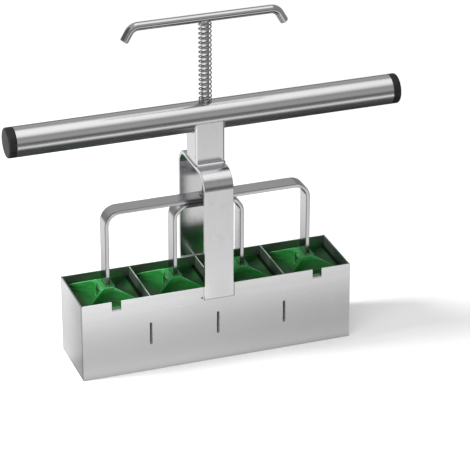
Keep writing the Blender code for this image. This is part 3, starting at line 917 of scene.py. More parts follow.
def soften(shape: bmesh.types.BMesh, radius: float, steps: int, sharp: float = SHARP,
           chosen: Callable[[bmesh.types.BMEdge], bool] = lambda edge: True) -> None:
    """Round the sharp edges of a shape.

    Args:
        shape: The shape.
        radius: How far each edge is cut back.
        steps: The steps round each edge.
        sharp: The angle from which an edge is sharp.
        chosen: A test that an edge has to pass as well.
    """
    edges = [edge for edge in shape.edges
             if edge.is_manifold and edge.calc_face_angle() > sharp and chosen(edge)]
    bmesh.ops.bevel(shape, geom=edges, offset=radius, offset_type="OFFSET", segments=steps,
                    profile=0.5, affect="EDGES", clamp_overlap=True)


def turned(profile: Sequence[Point2], steps: int, closed: bool) -> bmesh.types.BMesh:
    """Turn a profile about Z.

    Args:
        profile: Pairs of a radius and a height. A radius of 0 closes an end.
        steps: The steps round the axis.
        closed: True where the profile's last point joins its first.

    Returns:
        The turned shape.
    """
    shape = bmesh.new()
    rings = []
    for radius, height in profile:
        if radius == 0:
            rings.append([shape.verts.new((0, 0, height))])
            continue
        angles = [2 * math.pi * step / steps for step in range(steps)]
        rings.append([shape.verts.new((radius * math.cos(a), radius * math.sin(a), height))
                      for a in angles])
    skin(shape, rings, closed)
    return shape


def skin(shape: bmesh.types.BMesh, rings: Sequence[Sequence[bmesh.types.BMVert]],
         closed: bool) -> None:
    """Put faces between each ring of points and the next.

    Args:
        shape: The shape that holds them.
        rings: The rings in order.
        closed: True where the last ring joins the first.
    """
    pairs = list(zip(rings, rings[1:]))
    if closed:
        pairs.append((rings[-1], rings[0]))
    for one, other in pairs:
        join_rings(shape, one, other)


def join_rings(shape: bmesh.types.BMesh, one: Sequence[bmesh.types.BMVert],
               other: Sequence[bmesh.types.BMVert]) -> None:
    """Put faces between two rings of points, either of which may be a single point.

    Args:
        shape: The shape that holds them.
        one: The first ring.
        other: The second ring.
    """
    count = max(len(one), len(other))
    for index in range(count):
        after = (index + 1) % count
        corners = [one[index % len(one)], one[after % len(one)],
                   other[after % len(other)], other[index % len(other)]]
        distinct = list(dict.fromkeys(corners))
        if len(distinct) > 2:
            shape.faces.new(distinct)


def swept(path: Sequence[Vector], sizes: Sequence[float], section: int, up: Vector,
          closed: bool) -> bmesh.types.BMesh:
    """Sweep a round section along a line of points.

    Args:
        path: The centre line.
        sizes: The section's radius at each point of it.
        section: The number of points round the section.
        up: A direction that the line never runs along.
        closed: True where the line's last point joins its first. Other lines get flat ends.

    Returns:
        The swept shape.
    """
    shape = bmesh.new()
    rings = []
    last = len(path) - 1
    for index, (centre, radius) in enumerate(zip(path, sizes)):
        before = path[index - 1 if closed else max(index - 1, 0)]
        after = path[(index + 1) % len(path) if closed else min(index + 1, last)]
        along = (after - before).normalized()
        side = along.cross(up).normalized()
        over = side.cross(along)
        angles = [2 * math.pi * step / section for step in range(section)]
        rings.append([shape.verts.new(centre + radius * (math.cos(a) * side + math.sin(a) * over))
                      for a in angles])
    skin(shape, rings, closed)
    if not closed:
        shape.faces.new(list(reversed(rings[0])))
        shape.faces.new(rings[-1])
    return shape


def rod_tool(radius: float, length: float, place: Matrix) -> bpy.types.Mesh:
    """Return a round cutter.

    Args:
        radius: Its radius.
        length: Its length, about its middle.
        place: Where it goes; it starts along Z.

    Returns:
        The cutter's mesh.
    """
    half = length / 2
    profile = [(0, half), (radius, half), (radius, -half), (0, -half)]
    shape = turned(profile, HOLE_STEPS, closed=False)
    put(shape, place)
    return to_mesh(shape, "tool")


def box_tool(size: Vector, centre: Vector) -> bpy.types.Mesh:
    """Return a box-shaped cutter."""
    shape = plate([rectangle((0, 0), size.x, size.y)], size.z, Matrix.Translation(centre))
    return to_mesh(shape, "tool")


def cut_away(mesh: bpy.types.Mesh, tools: Sequence[bpy.types.Mesh]) -> bpy.types.Mesh:
    """Cut tools from a mesh.

    Args:
        mesh: The mesh to change; it is used up.
        tools: The cutters; they are used up.

    Returns:
        The new mesh.
    """
    scene = bpy.context.scene.collection.objects
    work = bpy.data.objects.new("work", mesh)
    scene.link(work)
    held = []
    for tool in tools:
        holder = bpy.data.objects.new("tool", tool)
        scene.link(holder)
        held.append(holder)
        modifier = work.modifiers.new("cut", "BOOLEAN")
        modifier.operation = "DIFFERENCE"
        modifier.solver = "EXACT"
        modifier.object = holder
    result = bpy.data.meshes.new_from_object(
        work.evaluated_get(bpy.context.evaluated_depsgraph_get()))
    for thing in [work] + held:
        old = thing.data
        bpy.data.objects.remove(thing, do_unlink=True)
        bpy.data.meshes.remove(old)
    return result


def mark_lay(mesh: bpy.types.Mesh, line: Sequence[Vector], across: Vector) -> None:
    """Write on each point how far it lies along, across and out from a piece's centre line.

    Args:
        mesh: The mesh to mark.
        line: The centre line.
        across: The direction across the piece.
    """
    legs = []
    start = 0.0
    for one, other in zip(line, line[1:]):
        length = (other - one).length
        legs.append((one, (other - one) / length, length, start))
        start += length
    values = []
    for vertex in mesh.vertices:
        best = None
        for one, along, length, begin in legs:
            step = min(max((vertex.co - one).dot(along), 0.0), length)
            miss = (vertex.co - one - along * step).length
            if best is None or miss < best[0]:
                out = (vertex.co - one).dot(along.cross(across))
                best = (miss, begin + step, out)
        values += [best[1], vertex.co.dot(across), best[2]]
    layer = mesh.attributes.new(LAY, "FLOAT_VECTOR", "POINT")
    layer.data.foreach_set("vector", values)


def shade_by_area(mesh: bpy.types.Mesh) -> bpy.types.Mesh:
    """Shade a mesh smooth, so that its flat faces stay flat and its rounded edges turn.

    Args:
        mesh: The mesh; it is used up.

    Returns:
        The mesh with its own normals.
    """
    mesh.shade_smooth()
    mesh.set_sharp_from_angle(angle=CREASE)
    work = bpy.data.objects.new("work", mesh)
    bpy.context.scene.collection.objects.link(work)
    shading = work.modifiers.new("shading", "WEIGHTED_NORMAL")
    shading.mode = "FACE_AREA"
    shading.weight = FLAT_WEIGHT
    shading.keep_sharp = True
    shaded = bpy.data.meshes.new_from_object(
        work.evaluated_get(bpy.context.evaluated_depsgraph_get()))
    bpy.data.objects.remove(work, do_unlink=True)
    bpy.data.meshes.remove(mesh)
    return shaded


# Sub-assemblies


ALONG_MOULD = Matrix.Rotation(math.radians(90), 4, "X")
ACROSS_MOULD = Matrix.Rotation(math.radians(90), 4, "Z") @ ALONG_MOULD
AXIS_TO_X = Matrix.Rotation(math.radians(90), 4, "Y")
BEAD_UP = Vector((0.02, 0.01, 1.0)).normalized()  # nearly Z, and never parallel to the bead


@dataclass
class SubAssembly:
    """What every sub-assembly shares: its finishes, and the way a piece is put in."""

    finishes: dict[Slot, bpy.types.Material]

    def add(self, name: str, mesh: bpy.types.Mesh, body: Body, slot: Slot,
            line: Sequence[Vector], across: Vector, nodes: Sequence[str]) -> bpy.types.Object:
        """Put a piece in: dress it, shade it and let it ride.

        Args:
            name: The piece's name.
            mesh: Its mesh, in its place.
            body: The body that it rides on.
            slot: The slot of its finish.
            line: The centre line that its grain follows.
            across: The direction across it.
            nodes: The nodes that it stands for.

        Returns:
            The piece.
        """
        mark_lay(mesh, line, across)
        mesh.materials.clear()
        mesh.materials.append(self.finishes[slot])
        piece = bpy.data.objects.new(name, shade_by_area(mesh))
        piece.data.name = name
        bpy.context.scene.collection.objects.link(piece)
        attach(piece, body.value)
        if nodes:
            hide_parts(*nodes)
        LOG.info("%s: %d faces, rides on %s", name, len(piece.data.polygons), body.value)
        return piece


@dataclass
class Mould(SubAssembly):
    """Sheet-steel walls and dividers round the four cells."""

    cells: int = 4
    cell: float = 51 * MM
    sheet: float = 1 * MM
    height: float = 61 * MM
    gap: float = 0.3 * MM
    tab_height: float = 15.5 * MM
    tab_z: float = 30.5 * MM
    notch_width: float = 7.2 * MM
    notch_depth: float = 6.5 * MM
    stop_reach: float = 4.2 * MM
    stop_bend: float = 0.7 * MM
    tab_sunk: float = 0.75 * MM
    relief: float = 1.05 * MM
    relief_steps: int = 14
    low_relief: float = 0.86
    low_turn: float = 1.2
    edge: float = 0.42 * MM
    thin_edge: float = 0.16 * MM
    edge_steps: int = 3
    bend_steps: int = 6

    @property
    def pitch(self) -> float:
        """The distance from one cell to the next."""
        return self.cell + self.sheet

    @property
    def length(self) -> float:
        """The mould's outside length."""
        return self.cells * self.pitch + self.sheet

    @property
    def wall_y(self) -> float:
        """The middle of a long wall."""
        return (self.cell + self.sheet) / 2

    @property
    def half_inner(self) -> float:
        """How far a wall across the mould reaches to each side."""
        return self.cell / 2 - self.gap

    @property
    def divider_places(self) -> tuple[float, ...]:
        """The dividers' places along the mould."""
        return (-self.pitch, 0.0, self.pitch)

    @property
    def notch_places(self) -> tuple[float, ...]:
        """The notches' places along the mould, at the middles of its end cells."""
        outer = (self.cells - 1) / 2 * self.pitch
        return (-outer, outer)

    def slots(self) -> list[list[Point2]]:
        """Return the holes for the dividers' tabs, each with a round relief at both ends.

        Returns:
            The outline of each hole.
        """
        half_width = self.sheet / 2 + self.gap
        half_height = self.tab_height / 2 + self.gap
        turn = math.degrees(math.asin(half_width / self.relief))
        loops = []
        low_turn = turn * self.low_turn
        for x in self.divider_places:
            high, low = (x, self.tab_z + half_height), (x, self.tab_z - half_height)
            loop = arc(high, self.relief, -90 + turn, 270 - turn, self.relief_steps)
            loop += arc(low, self.relief * self.low_relief, 90 + low_turn, 450 - low_turn,
                        self.relief_steps)
            loops.append(loop)
        return loops

    def add_wall(self, name: str, shape: bmesh.types.BMesh, line: Sequence[Vector],
                 edge: float) -> None:
        """Round a wall's edges and put it in.

        Args:
            name: The wall's name.
            shape: Its shape.
            line: The line of its grain.
            edge: How far its edges are rounded.
        """
        merge_flats(shape)
        soften(shape, edge, self.edge_steps)
        self.add(name, to_mesh(shape, name), Body.MOULD, Slot.MOULD_STEEL, line, Z_AXIS, [name])

    def add_cross_wall(self, name: str, outline: Sequence[Point2], x: float, edge: float) -> None:
        """Put in a wall that runs across the mould.

        Args:
            name: The wall's name.
            outline: Its outline.
            x: Its place along the mould.
            edge: How far its edges are rounded.
        """
        shape = plate([outline], self.sheet, Matrix.Translation((x, 0, 0)) @ ACROSS_MOULD)
        line = [Vector((x, -self.half_inner, 0)), Vector((x, self.half_inner, 0))]
        self.add_wall(name, shape, line, edge)

    def bend_stop_tab(self, shape: bmesh.types.BMesh, place_x: float, low: float) -> None:
        """Bend a stop tab in at the bottom of a notch.

        Args:
            shape: The front wall's shape.
            place_x: The notch's middle.
            low: The height at which the bend starts.
        """
        outer_y = -self.wall_y - self.sheet / 2
        centre = (outer_y + self.stop_bend, low)
        outer = arc(centre, self.stop_bend, 180, 90, self.bend_steps)
        inner = arc(centre, self.stop_bend - self.sheet, 180, 90, self.bend_steps)
        tip_y = -self.wall_y + self.stop_reach + self.sheet / 2
        outer.append((tip_y, low + self.stop_bend))
        inner.append((tip_y, low + self.stop_bend - self.sheet))
        left, right = place_x - self.notch_width / 2, place_x + self.notch_width / 2
        rings = [[shape.verts.new((left, *far)), shape.verts.new((right, *far)),
                  shape.verts.new((right, *near)), shape.verts.new((left, *near))]
                 for far, near in zip(outer, inner)]
        skin(shape, rings, closed=False)
        shape.faces.new(rings[-1])

    def build_front_wall(self) -> None:
        """Build the front wall with its notches, stop tabs and slots."""
        half = self.length / 2
        low = self.height - self.notch_depth - self.stop_bend
        outline = [(-half, 0), (half, 0), (half, self.height)]
        for place_x in reversed(self.notch_places):
            left, right = place_x - self.notch_width / 2, place_x + self.notch_width / 2
            outline += [(right, self.height), (right, low), (left, low), (left, self.height)]
        outline.append((-half, self.height))
        shape = plate([outline] + self.slots(), self.sheet,
                      Matrix.Translation((0, -self.wall_y, 0)) @ ALONG_MOULD)
        floors = [face for face in shape.faces
                  if all(abs(vertex.co.z - low) < MERGE for vertex in face.verts)]
        bmesh.ops.delete(shape, geom=floors, context="FACES_ONLY")
        for place_x in self.notch_places:
            self.bend_stop_tab(shape, place_x, low)
        bmesh.ops.remove_doubles(shape, verts=shape.verts, dist=MERGE)
        bmesh.ops.recalc_face_normals(shape, faces=shape.faces)
        self.add_wall("front_wall", shape, level_line(-half, half, 0.0, -self.wall_y), self.edge)

    def build_other_walls(self) -> None:
        """Build the back wall, the end walls and the dividers."""
        half = self.length / 2
        outline = rectangle((0, self.height / 2), self.length, self.height)
        back = plate([outline] + self.slots(), self.sheet,
                     Matrix.Translation((0, self.wall_y, 0)) @ ALONG_MOULD)
        self.add_wall("back_wall", back, level_line(-half, half, 0.0, self.wall_y), self.thin_edge)
        end = rectangle((0, self.height / 2), 2 * self.half_inner, self.height)
        for side in Side:
            self.add_cross_wall("%s_end_wall" % side.name.lower(), end,
                                side.value * (half - self.sheet / 2), self.edge)
        for index, x in enumerate(self.divider_places, start=1):
            self.add_cross_wall("divider_%d" % index, self.divider_outline(), x, self.thin_edge)

    def divider_outline(self) -> list[Point2]:
        """Return a divider's outline, with a tab at each side.

        Returns:
            The outline, counter-clockwise.
        """
        inner = self.half_inner
        outer = self.cell / 2 + self.sheet - self.tab_sunk
        low, high = self.tab_z - self.tab_height / 2, self.tab_z + self.tab_height / 2
        return [(-inner, 0), (inner, 0), (inner, low), (outer, low), (outer, high),
                (inner, high), (inner, self.height), (-inner, self.height), (-inner, high),
                (-outer, high), (-outer, low), (-inner, low)]

    def build(self) -> None:
        """Build the whole mould."""
        self.build_front_wall()
        self.build_other_walls()


@dataclass
class BentBar(SubAssembly):
    """A flat bar that is bent into an upside-down U, with rounded edges."""

    name: str = "bar"
    half_span: float = 30 * MM
    low: float = 50 * MM
    high: float = 120 * MM
    bend: float = 12 * MM
    width: float = 12.7 * MM
    thickness: float = 3 * MM
    edge: float = 0.38 * MM
    edge_steps: int = 3
    bend_steps: int = 14

    def turn_down(self, inset: float) -> list[Point2]:
        """Return the bar's edge view, drawn in from its outside.

        Args:
            inset: How far it is drawn in.

        Returns:
            The line, from the left leg's end to the right one's.
        """
        middle, high, radius = self.half_span - self.bend, self.high - self.bend, self.bend - inset
        points = [(inset - self.half_span, self.low)]
        points += arc((-middle, high), radius, 180, 90, self.bend_steps)
        points += arc((middle, high), radius, 90, 0, self.bend_steps)
        points.append((self.half_span - inset, self.low))
        return points

    def bent(self, turn: Matrix) -> bpy.types.Mesh:
        """Build the bar without its holes.

        Args:
            turn: Where the bar's edge view goes.

        Returns:
            The bar's mesh.
        """
        outline = self.turn_down(0.0) + list(reversed(self.turn_down(self.thickness)))
        shape = plate([outline], self.width, turn)
        merge_flats(shape)
        soften(shape, self.edge, self.edge_steps)
        return to_mesh(shape, self.name)

    def rod_cutter(self, width: float) -> bpy.types.Mesh:
        """Return the cutter of the rod's hole in the bar's top."""
        return rod_tool(width / 2, HOLE_LENGTH, Matrix.Translation((0, 0, self.high)))


@dataclass
class Bail(BentBar):
    """The flat bar over the mould, with the hole that guides the rod."""

    name: str = "bail"
    half_span: float = 29.8 * MM
    low: float = 52.5 * MM
    high: float = 151.7 * MM
    bend: float = 13 * MM
    width: float = 22.2 * MM
    hole: float = 7.2 * MM

    def build(self) -> None:
        """Build the bail."""
        mesh = cut_away(self.bent(ACROSS_MOULD), [self.rod_cutter(self.hole)])
        line = [Vector((0, y, z)) for y, z in self.turn_down(self.thickness / 2)]
        self.add(self.name, mesh, Body.MOULD, Slot.BAR_STEEL, line, X_AXIS, [self.name])


@dataclass
class Neck(SubAssembly):
    """The box-section neck, coped to the handle tube, with its weld beads."""

    half_x: float = 11.1 * MM
    half_y: float = 11.1 * MM
    wall: float = 1.2 * MM
    corner: float = 1.6 * MM
    bottom: float = 152.0 * MM
    tube_z: float = 186.3 * MM
    tube_radius: float = 11.1 * MM
    cope_gap: float = 0.05 * MM
    lip: float = 0.25 * MM
    corner_steps: int = 8
    side_steps: int = 14
    bead: float = 0.75 * MM
    bead_out: float = 0.05 * MM
    bead_sunk: float = 0.1 * MM
    bead_thinning: float = 0.55
    bead_power: int = 6
    bead_section: int = 10
    ripples: tuple[Point2, ...] = ((0.08, 1.9), (0.05, 0.7))
    flank: float = 0.9
    flank_low: float = 1.4 * MM
    foot_bead: float = 0.95 * MM
    foot_sunk: float = 0.25 * MM
    foot_profile: tuple[Point2, ...] = ((-1.0, 0.0), (-0.96, 0.15), (-0.45, 0.66), (-0.05, 1.0))

    def outline(self, inset: float) -> list[Point2]:
        """Return the neck's outline with points along its sides too.

        Args:
            inset: How far it is drawn in from the outside.

        Returns:
            The outline, counter-clockwise.
        """
        half_x, half_y = self.half_x - inset, self.half_y - inset
        corners = rounded_rectangle(half_x, half_y, self.corner - inset, self.corner_steps)
        points = []
        for index, (x, y) in enumerate(corners):
            points.append((x, y))
            if index % (self.corner_steps + 1) == self.corner_steps:
                next_x, next_y = corners[(index + 1) % len(corners)]
                for step in range(1, self.side_steps):
                    share = step / self.side_steps
                    points.append((x + (next_x - x) * share, y + (next_y - y) * share))
        return points

    def cope(self, y: float, gap: float) -> float:
        """Return the height at which the neck meets the tube, this far from its axis."""
        reach = self.tube_radius + gap
        return self.tube_z - math.sqrt(max(reach * reach - y * y, 0.0))

    def build_neck(self) -> None:
        """Build the box section."""
        shape = bmesh.new()
        rings = []
        outer, inner = self.outline(0.0), self.outline(self.wall)
        drawn = self.outline(self.lip)
        rings.append([shape.verts.new((x, y, self.cope(y, self.cope_gap))) for x, y in drawn])
        rings.append([shape.verts.new((x, y, self.cope(y, self.cope_gap) - self.lip))
                      for x, y in outer])
        rings.append([shape.verts.new((x, y, self.bottom + self.lip)) for x, y in outer])
        rings.append([shape.verts.new((x, y, self.bottom)) for x, y in drawn])
        rings.append([shape.verts.new((x, y, self.bottom)) for x, y in inner])
        rings.append([shape.verts.new((x, y, self.cope(y, self.cope_gap))) for x, y in inner])
        skin(shape, rings, closed=True)
        self.add("neck", to_mesh(shape, "neck"), Body.MOULD, Slot.BAR_STEEL,
                 upright_line(self.bottom, self.tube_z), X_AXIS, ["neck"])

    def build_tube_bead(self) -> None:
        """Build the weld bead between the neck and the tube."""
        line, sizes = [], []
        for index, (x, y) in enumerate(self.outline(-self.bead_out)):
            ripple = sum(size * math.sin(index * rate) for size, rate in self.ripples)
            share = min(abs(y) / self.half_y, 1.0)
            height = self.cope(min(abs(y), self.tube_radius), 0.0) - self.bead_sunk
            if share > self.flank:
                height = min(height, self.tube_z - self.flank_low)
            thin = 1.0 - self.bead_thinning * share ** self.bead_power
            line.append(Vector((x, y, height)))
            sizes.append(self.bead * thin * (1.0 + ripple))
        shape = swept(line, sizes, self.bead_section, BEAD_UP, closed=True)
        self.add("neck_tube_weld", to_mesh(shape, "weld"), Body.MOULD, Slot.BAR_STEEL,
                 upright_line(self.bottom, self.tube_z), X_AXIS, [])

    def build_foot_bead(self) -> None:
        """Build the weld bead round the neck's foot."""
        low, reach = self.bottom - self.foot_sunk, self.foot_bead
        levels = [(inset * reach, low + rise * reach) for inset, rise in self.foot_profile]
        levels += [(self.wall / 2, low + reach), (self.wall / 2, low)]
        shape = bmesh.new()
        rings = [[shape.verts.new((x, y, height)) for x, y in self.outline(inset)]
                 for inset, height in levels]
        skin(shape, rings, closed=True)
        self.add("neck_foot_weld", to_mesh(shape, "weld"), Body.MOULD, Slot.BAR_STEEL,
                 upright_line(self.bottom, self.tube_z), X_AXIS, [])

    def build(self) -> None:
        """Build the neck and its welds."""
        self.build_neck()
        self.build_tube_bead()
        self.build_foot_bead()


@dataclass
class HandleTube(SubAssembly):
    """The tube that the hands hold, with a plastic cap in each end."""

    radius: float = 11.1 * MM
    wall: float = 1.2 * MM
    half_length: float = 143 * MM
    height: float = 186.3 * MM
    rim: float = 0.2 * MM
    hole: float = 7.2 * MM
    gap: float = 0.3 * MM
    head: float = 6.4 * MM
    crown: float = 0.35 * MM
    crown_steps: int = 6
    cap_edge: float = 1.5 * MM
    cap_edge_steps: int = 7
    cap_chamfer: float = 0.25 * MM
    plug: float = 10 * MM
    plug_wall: float = 1.6 * MM
    steps: int = 96

    def build_tube(self) -> None:
        """Build the tube."""
        inner, shoulder = self.radius - self.wall, self.radius - self.rim
        half = self.half_length
        profile = [(inner, half), (shoulder, half), (self.radius, half - self.rim),
                   (self.radius, -half + self.rim), (shoulder, -half), (inner, -half)]
        shape = turned(profile, self.steps, closed=True)
        place = Matrix.Translation((0, 0, self.height))
        put(shape, place @ AXIS_TO_X)
        mesh = cut_away(to_mesh(shape, "tube"), [rod_tool(self.hole / 2, 3 * self.radius, place)])
        self.add("handle_tube", mesh, Body.MOULD, Slot.TUBE_STEEL,
                 level_line(-half, half, self.height), Y_AXIS, ["handle_tube"])

    def cap_profile(self) -> list[Point2]:
        """Return a cap's profile: a crowned head and a hollow plug.

        Returns:
            Pairs of a radius and a height, from the head's middle round to the plug's.
        """
        plug = self.radius - self.wall - self.gap
        bore = plug - self.plug_wall
        flat = self.radius - self.cap_edge
        points = [(0, self.head)]
        for step in range(1, self.crown_steps + 1):
            share = step / self.crown_steps
            points.append((flat * share, self.head - self.crown * share * share))
        centre = (flat, self.head - self.crown - self.cap_edge)
        points += arc(centre, self.cap_edge, 90, 0, self.cap_edge_steps)[1:]
        points += [(self.radius, self.gap + self.cap_chamfer),
                   (self.radius - self.cap_chamfer, self.gap),
                   (plug, self.gap), (plug, -self.plug), (bore, -self.plug), (bore, self.gap),
                   (0, self.gap)]
        return points

    def build_caps(self) -> None:
        """Build the two caps."""
        for side in Side:
            name = "%s_end_cap" % side.name.lower()
            end = side.value * self.half_length
            shape = turned(self.cap_profile(), self.steps, closed=False)
            turn = Matrix.Rotation(side.value * math.radians(90), 4, "Y")
            put(shape, Matrix.Translation((end, 0, self.height)) @ turn)
            self.add(name, to_mesh(shape, name), Body.MOULD, Slot.BLACK_PLASTIC,
                     level_line(end - self.plug, end + self.plug, self.height), Y_AXIS, [name])

    def build(self) -> None:
        """Build the tube and its caps."""
        self.build_tube()
        self.build_caps()


@dataclass
class Spring(SubAssembly):
    """The coil spring between the tube and the push handle, with closed end turns."""

    bottom: float = 197.7 * MM
    length: float = 60.3 * MM
    diameter: float = 9.8 * MM
    wire: float = 0.95 * MM
    turns: int = 18
    closed_turns: float = 0.9
    closed_pitch: float = 1.05 * MM
    points_per_turn: int = 28
    section: int = 10
    keep: float = 0.312
    start: float = 0.38

    def height(self, turn: float) -> float:
        """Return how high the wire is after this many turns.

        Args:
            turn: The number of turns from the bottom.

        Returns:
            The height above the spring's lowest wire centre.
        """
        rise = self.length - self.wire
        closed = self.closed_turns
        open_pitch = (rise - 2 * closed * self.closed_pitch) / (self.turns - 2 * closed)
        if turn < closed:
            return turn * self.closed_pitch
        if turn > self.turns - closed:
            return rise - (self.turns - turn) * self.closed_pitch
        return closed * self.closed_pitch + (turn - closed) * open_pitch

    def build(self) -> None:
        """Build the spring and give it a mesh of its own."""
        radius = (self.diameter - self.wire) / 2
        path = []
        for index in range(self.turns * self.points_per_turn + 1):
            turn = index / self.points_per_turn
            angle = 2 * math.pi * (turn + self.start)
            height = self.bottom + self.wire / 2 + self.height(turn)
            path.append(Vector((radius * math.cos(angle), radius * math.sin(angle), height)))
        shape = swept(path, [self.wire / 2] * len(path), self.section, Z_AXIS, closed=False)
        line = upright_line(self.bottom, self.bottom + self.length)
        piece = self.add("spring", to_mesh(shape, "spring"), Body.MOULD, Slot.SPRING_STEEL,
                         line, X_AXIS, ["spring"])
        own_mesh(piece)


@dataclass
class PushRod(SubAssembly):
    """The rod down the middle, threaded at its lower end."""

    radius: float = 3 * MM
    top: float = 258.0 * MM
    bottom: float = 114.8 * MM
    thread_top: float = 118 * MM
    pitch: float = 1 * MM
    thread_depth: float = 0.3 * MM
    chamfer: float = 0.5 * MM
    steps: int = 40

    def build(self) -> None:
        """Build the rod."""
        profile = [(0, self.top), (self.radius - self.chamfer, self.top),
                   (self.radius, self.top - self.chamfer), (self.radius, self.thread_top)]
        height = self.thread_top - self.pitch / 2
        while height > self.bottom + self.pitch:
            profile.append((self.radius - self.thread_depth, height))
            profile.append((self.radius, height - self.pitch / 2))
            height -= self.pitch
        profile += [(self.radius - self.chamfer, self.bottom), (0, self.bottom)]
        shape = turned(profile, self.steps, closed=False)
        self.add("push_rod", to_mesh(shape, "push_rod"), Body.PRESS, Slot.ROD_STEEL,
                 upright_line(self.bottom, self.top), X_AXIS, ["push_rod"])


@dataclass
class PushHandle(SubAssembly):
    """The cross handle: a round bar whose ends bend down, welded to the rod."""

    radius: float = 3.1 * MM
    height: float = 261.4 * MM
    half_straight: float = 49.7 * MM
    bend: float = 8 * MM
    bend_angle: float = 60.0
    tip: float = 7.3 * MM
    end_round: float = 0.6 * MM
    end_angles: tuple[int, ...] = (0, 18, 36, 54, 72, 90)
    bend_steps: int = 12
    straight_steps: int = 4
    section: int = 28
    weld_radius: float = 3.1 * MM
    weld_low: float = 0.2 * MM
    weld_profile: tuple[Point2, ...] = (
        (0.4 * MM, 0.0), (0.0, 0.35 * MM), (0.1 * MM, 0.9 * MM), (0.9 * MM, 1.5 * MM))
    weld_height: float = 1.8 * MM
    weld_steps: int = 32

    def centre_line(self) -> list[Vector]:
        """Return the bar's centre line, with close points at its ends.

        Returns:
            The line, from the left tip to the right one.
        """
        turn = math.radians(self.bend_angle)
        bend = arc((self.half_straight, -self.bend), self.bend, 90, 90 - self.bend_angle,
                   self.bend_steps)
        end_x, end_z = bend[-1]
        right = list(bend)
        for share in [0.5] + [1 - self.end_round / self.tip * (1 - math.sin(math.radians(angle)))
                              for angle in self.end_angles]:
            right.append((end_x + self.tip * share * math.cos(turn),
                          end_z - self.tip * share * math.sin(turn)))
        middle = [(self.half_straight * step / self.straight_steps, 0.0)
                  for step in range(self.straight_steps)]
        half = middle + right
        points = [(-x, z) for x, z in reversed(half)] + half[1:]
        return [Vector((x, 0, self.height + z)) for x, z in points]

    def build(self) -> None:
        """Build the bar and the weld under it."""
        line = self.centre_line()
        sizes = [self.radius] * len(line)
        for step, angle in enumerate(reversed(self.end_angles[1:])):
            size = self.radius - self.end_round * (1 - math.cos(math.radians(angle)))
            sizes[step] = sizes[-1 - step] = size
        shape = swept(line, sizes, self.section, Y_AXIS, closed=False)
        self.add("push_handle", to_mesh(shape, "push_handle"), Body.PRESS, Slot.ROD_STEEL,
                 line, Y_AXIS, ["push_handle"])
        low = self.height - self.radius - self.weld_low
        profile = [(0, low)]
        profile += [(self.weld_radius - inset, low + rise) for inset, rise in self.weld_profile]
        profile.append((0, low + self.weld_height))
        weld = turned(profile, self.weld_steps, closed=False)
        self.add("push_handle_weld", to_mesh(weld, "weld"), Body.PRESS, Slot.ROD_STEEL,
                 upright_line(low, self.height), X_AXIS, [])


@dataclass
class Yoke(BentBar):
    """A bar over the mould with a leg down to a plunger at each end."""

    name: str = "outer_yoke"
    half_span: float = 79.5 * MM
    low: float = 56.0 * MM
    high: float = 123.5 * MM
    rod_hole: float = 6.6 * MM
    rivet_hole: float = 3.8 * MM
    rivet_z: float = 59.2 * MM

    def build(self) -> None:
        """Build the yoke with its holes."""
        rivet = rod_tool(self.rivet_hole / 2, 2 * self.half_span + HOLE_LENGTH,
                         Matrix.Translation((0, 0, self.rivet_z)) @ AXIS_TO_X)
        mesh = cut_away(self.bent(ALONG_MOULD), [self.rod_cutter(self.rod_hole), rivet])
        line = [Vector((x, 0, z)) for x, z in self.turn_down(self.thickness / 2)]
        self.add(self.name, mesh, Body.PRESS, Slot.BAR_STEEL, line, Y_AXIS, [self.name])


@dataclass
class RodFasteners(SubAssembly):
    """The washer on the outer yoke and the nut under the inner one."""

    bore: float = 3.3 * MM
    washer_radius: float = 4.9 * MM
    washer_z: float = 123.8 * MM
    washer_height: float = 1.2 * MM
    washer_rim: float = 0.3 * MM
    washer_steps: int = 48
    nut_sides: int = 6
    nut_corner: float = 4.6 * MM
    nut_top: float = 116.9 * MM
    nut_height: float = 1.8 * MM
    nut_chamfer: float = 0.25 * MM
    nut_slope: float = 28.0
    nut_steps: int = 72

    def build_washer(self) -> None:
        """Build the washer with rounded rims."""
        low, high = self.washer_z, self.washer_z + self.washer_height
        outer, shoulder = self.washer_radius, self.washer_radius - self.washer_rim
        profile = [(shoulder, high), (outer, high - self.washer_rim),
                   (outer, low + self.washer_rim), (shoulder, low),
                   (self.bore, low), (self.bore, high)]
        shape = turned(profile, self.washer_steps, closed=True)
        self.add("rod_washer", to_mesh(shape, "rod_washer"), Body.PRESS, Slot.ROD_STEEL,
                 upright_line(low, high), X_AXIS, ["rod_washer"])

    def build_nut(self) -> None:
        """Build the hex nut, chamfered at both faces."""
        shape = bmesh.new()
        half_side = 180 / self.nut_sides
        flat = self.nut_corner * math.cos(math.radians(half_side))
        face, half = flat - self.nut_chamfer, self.nut_height / 2
        middle = self.nut_top - half
        slope = math.tan(math.radians(self.nut_slope))
        profiles = []
        for step in range(self.nut_steps):
            angle = 2 * math.pi * step / self.nut_steps
            corner = (math.degrees(angle) % (2 * half_side)) - half_side
            reach = flat / math.cos(math.radians(corner))
            upper = [(self.bore, half), (face, half), (reach, half - (reach - face) * slope)]
            profile = upper + [(radius, -height) for radius, height in reversed(upper)]
            profiles.append([(radius * math.cos(angle), radius * math.sin(angle), middle + height)
                             for radius, height in profile])
        rings = [[shape.verts.new(place) for place in ring] for ring in zip(*profiles)]
        skin(shape, rings, closed=True)
        self.add("rod_nut", to_mesh(shape, "rod_nut"), Body.PRESS, Slot.ROD_STEEL,
                 upright_line(middle - half, middle + half), X_AXIS, ["rod_nut"])

    def build(self) -> None:
        """Build both fasteners."""
        self.build_washer()
        self.build_nut()


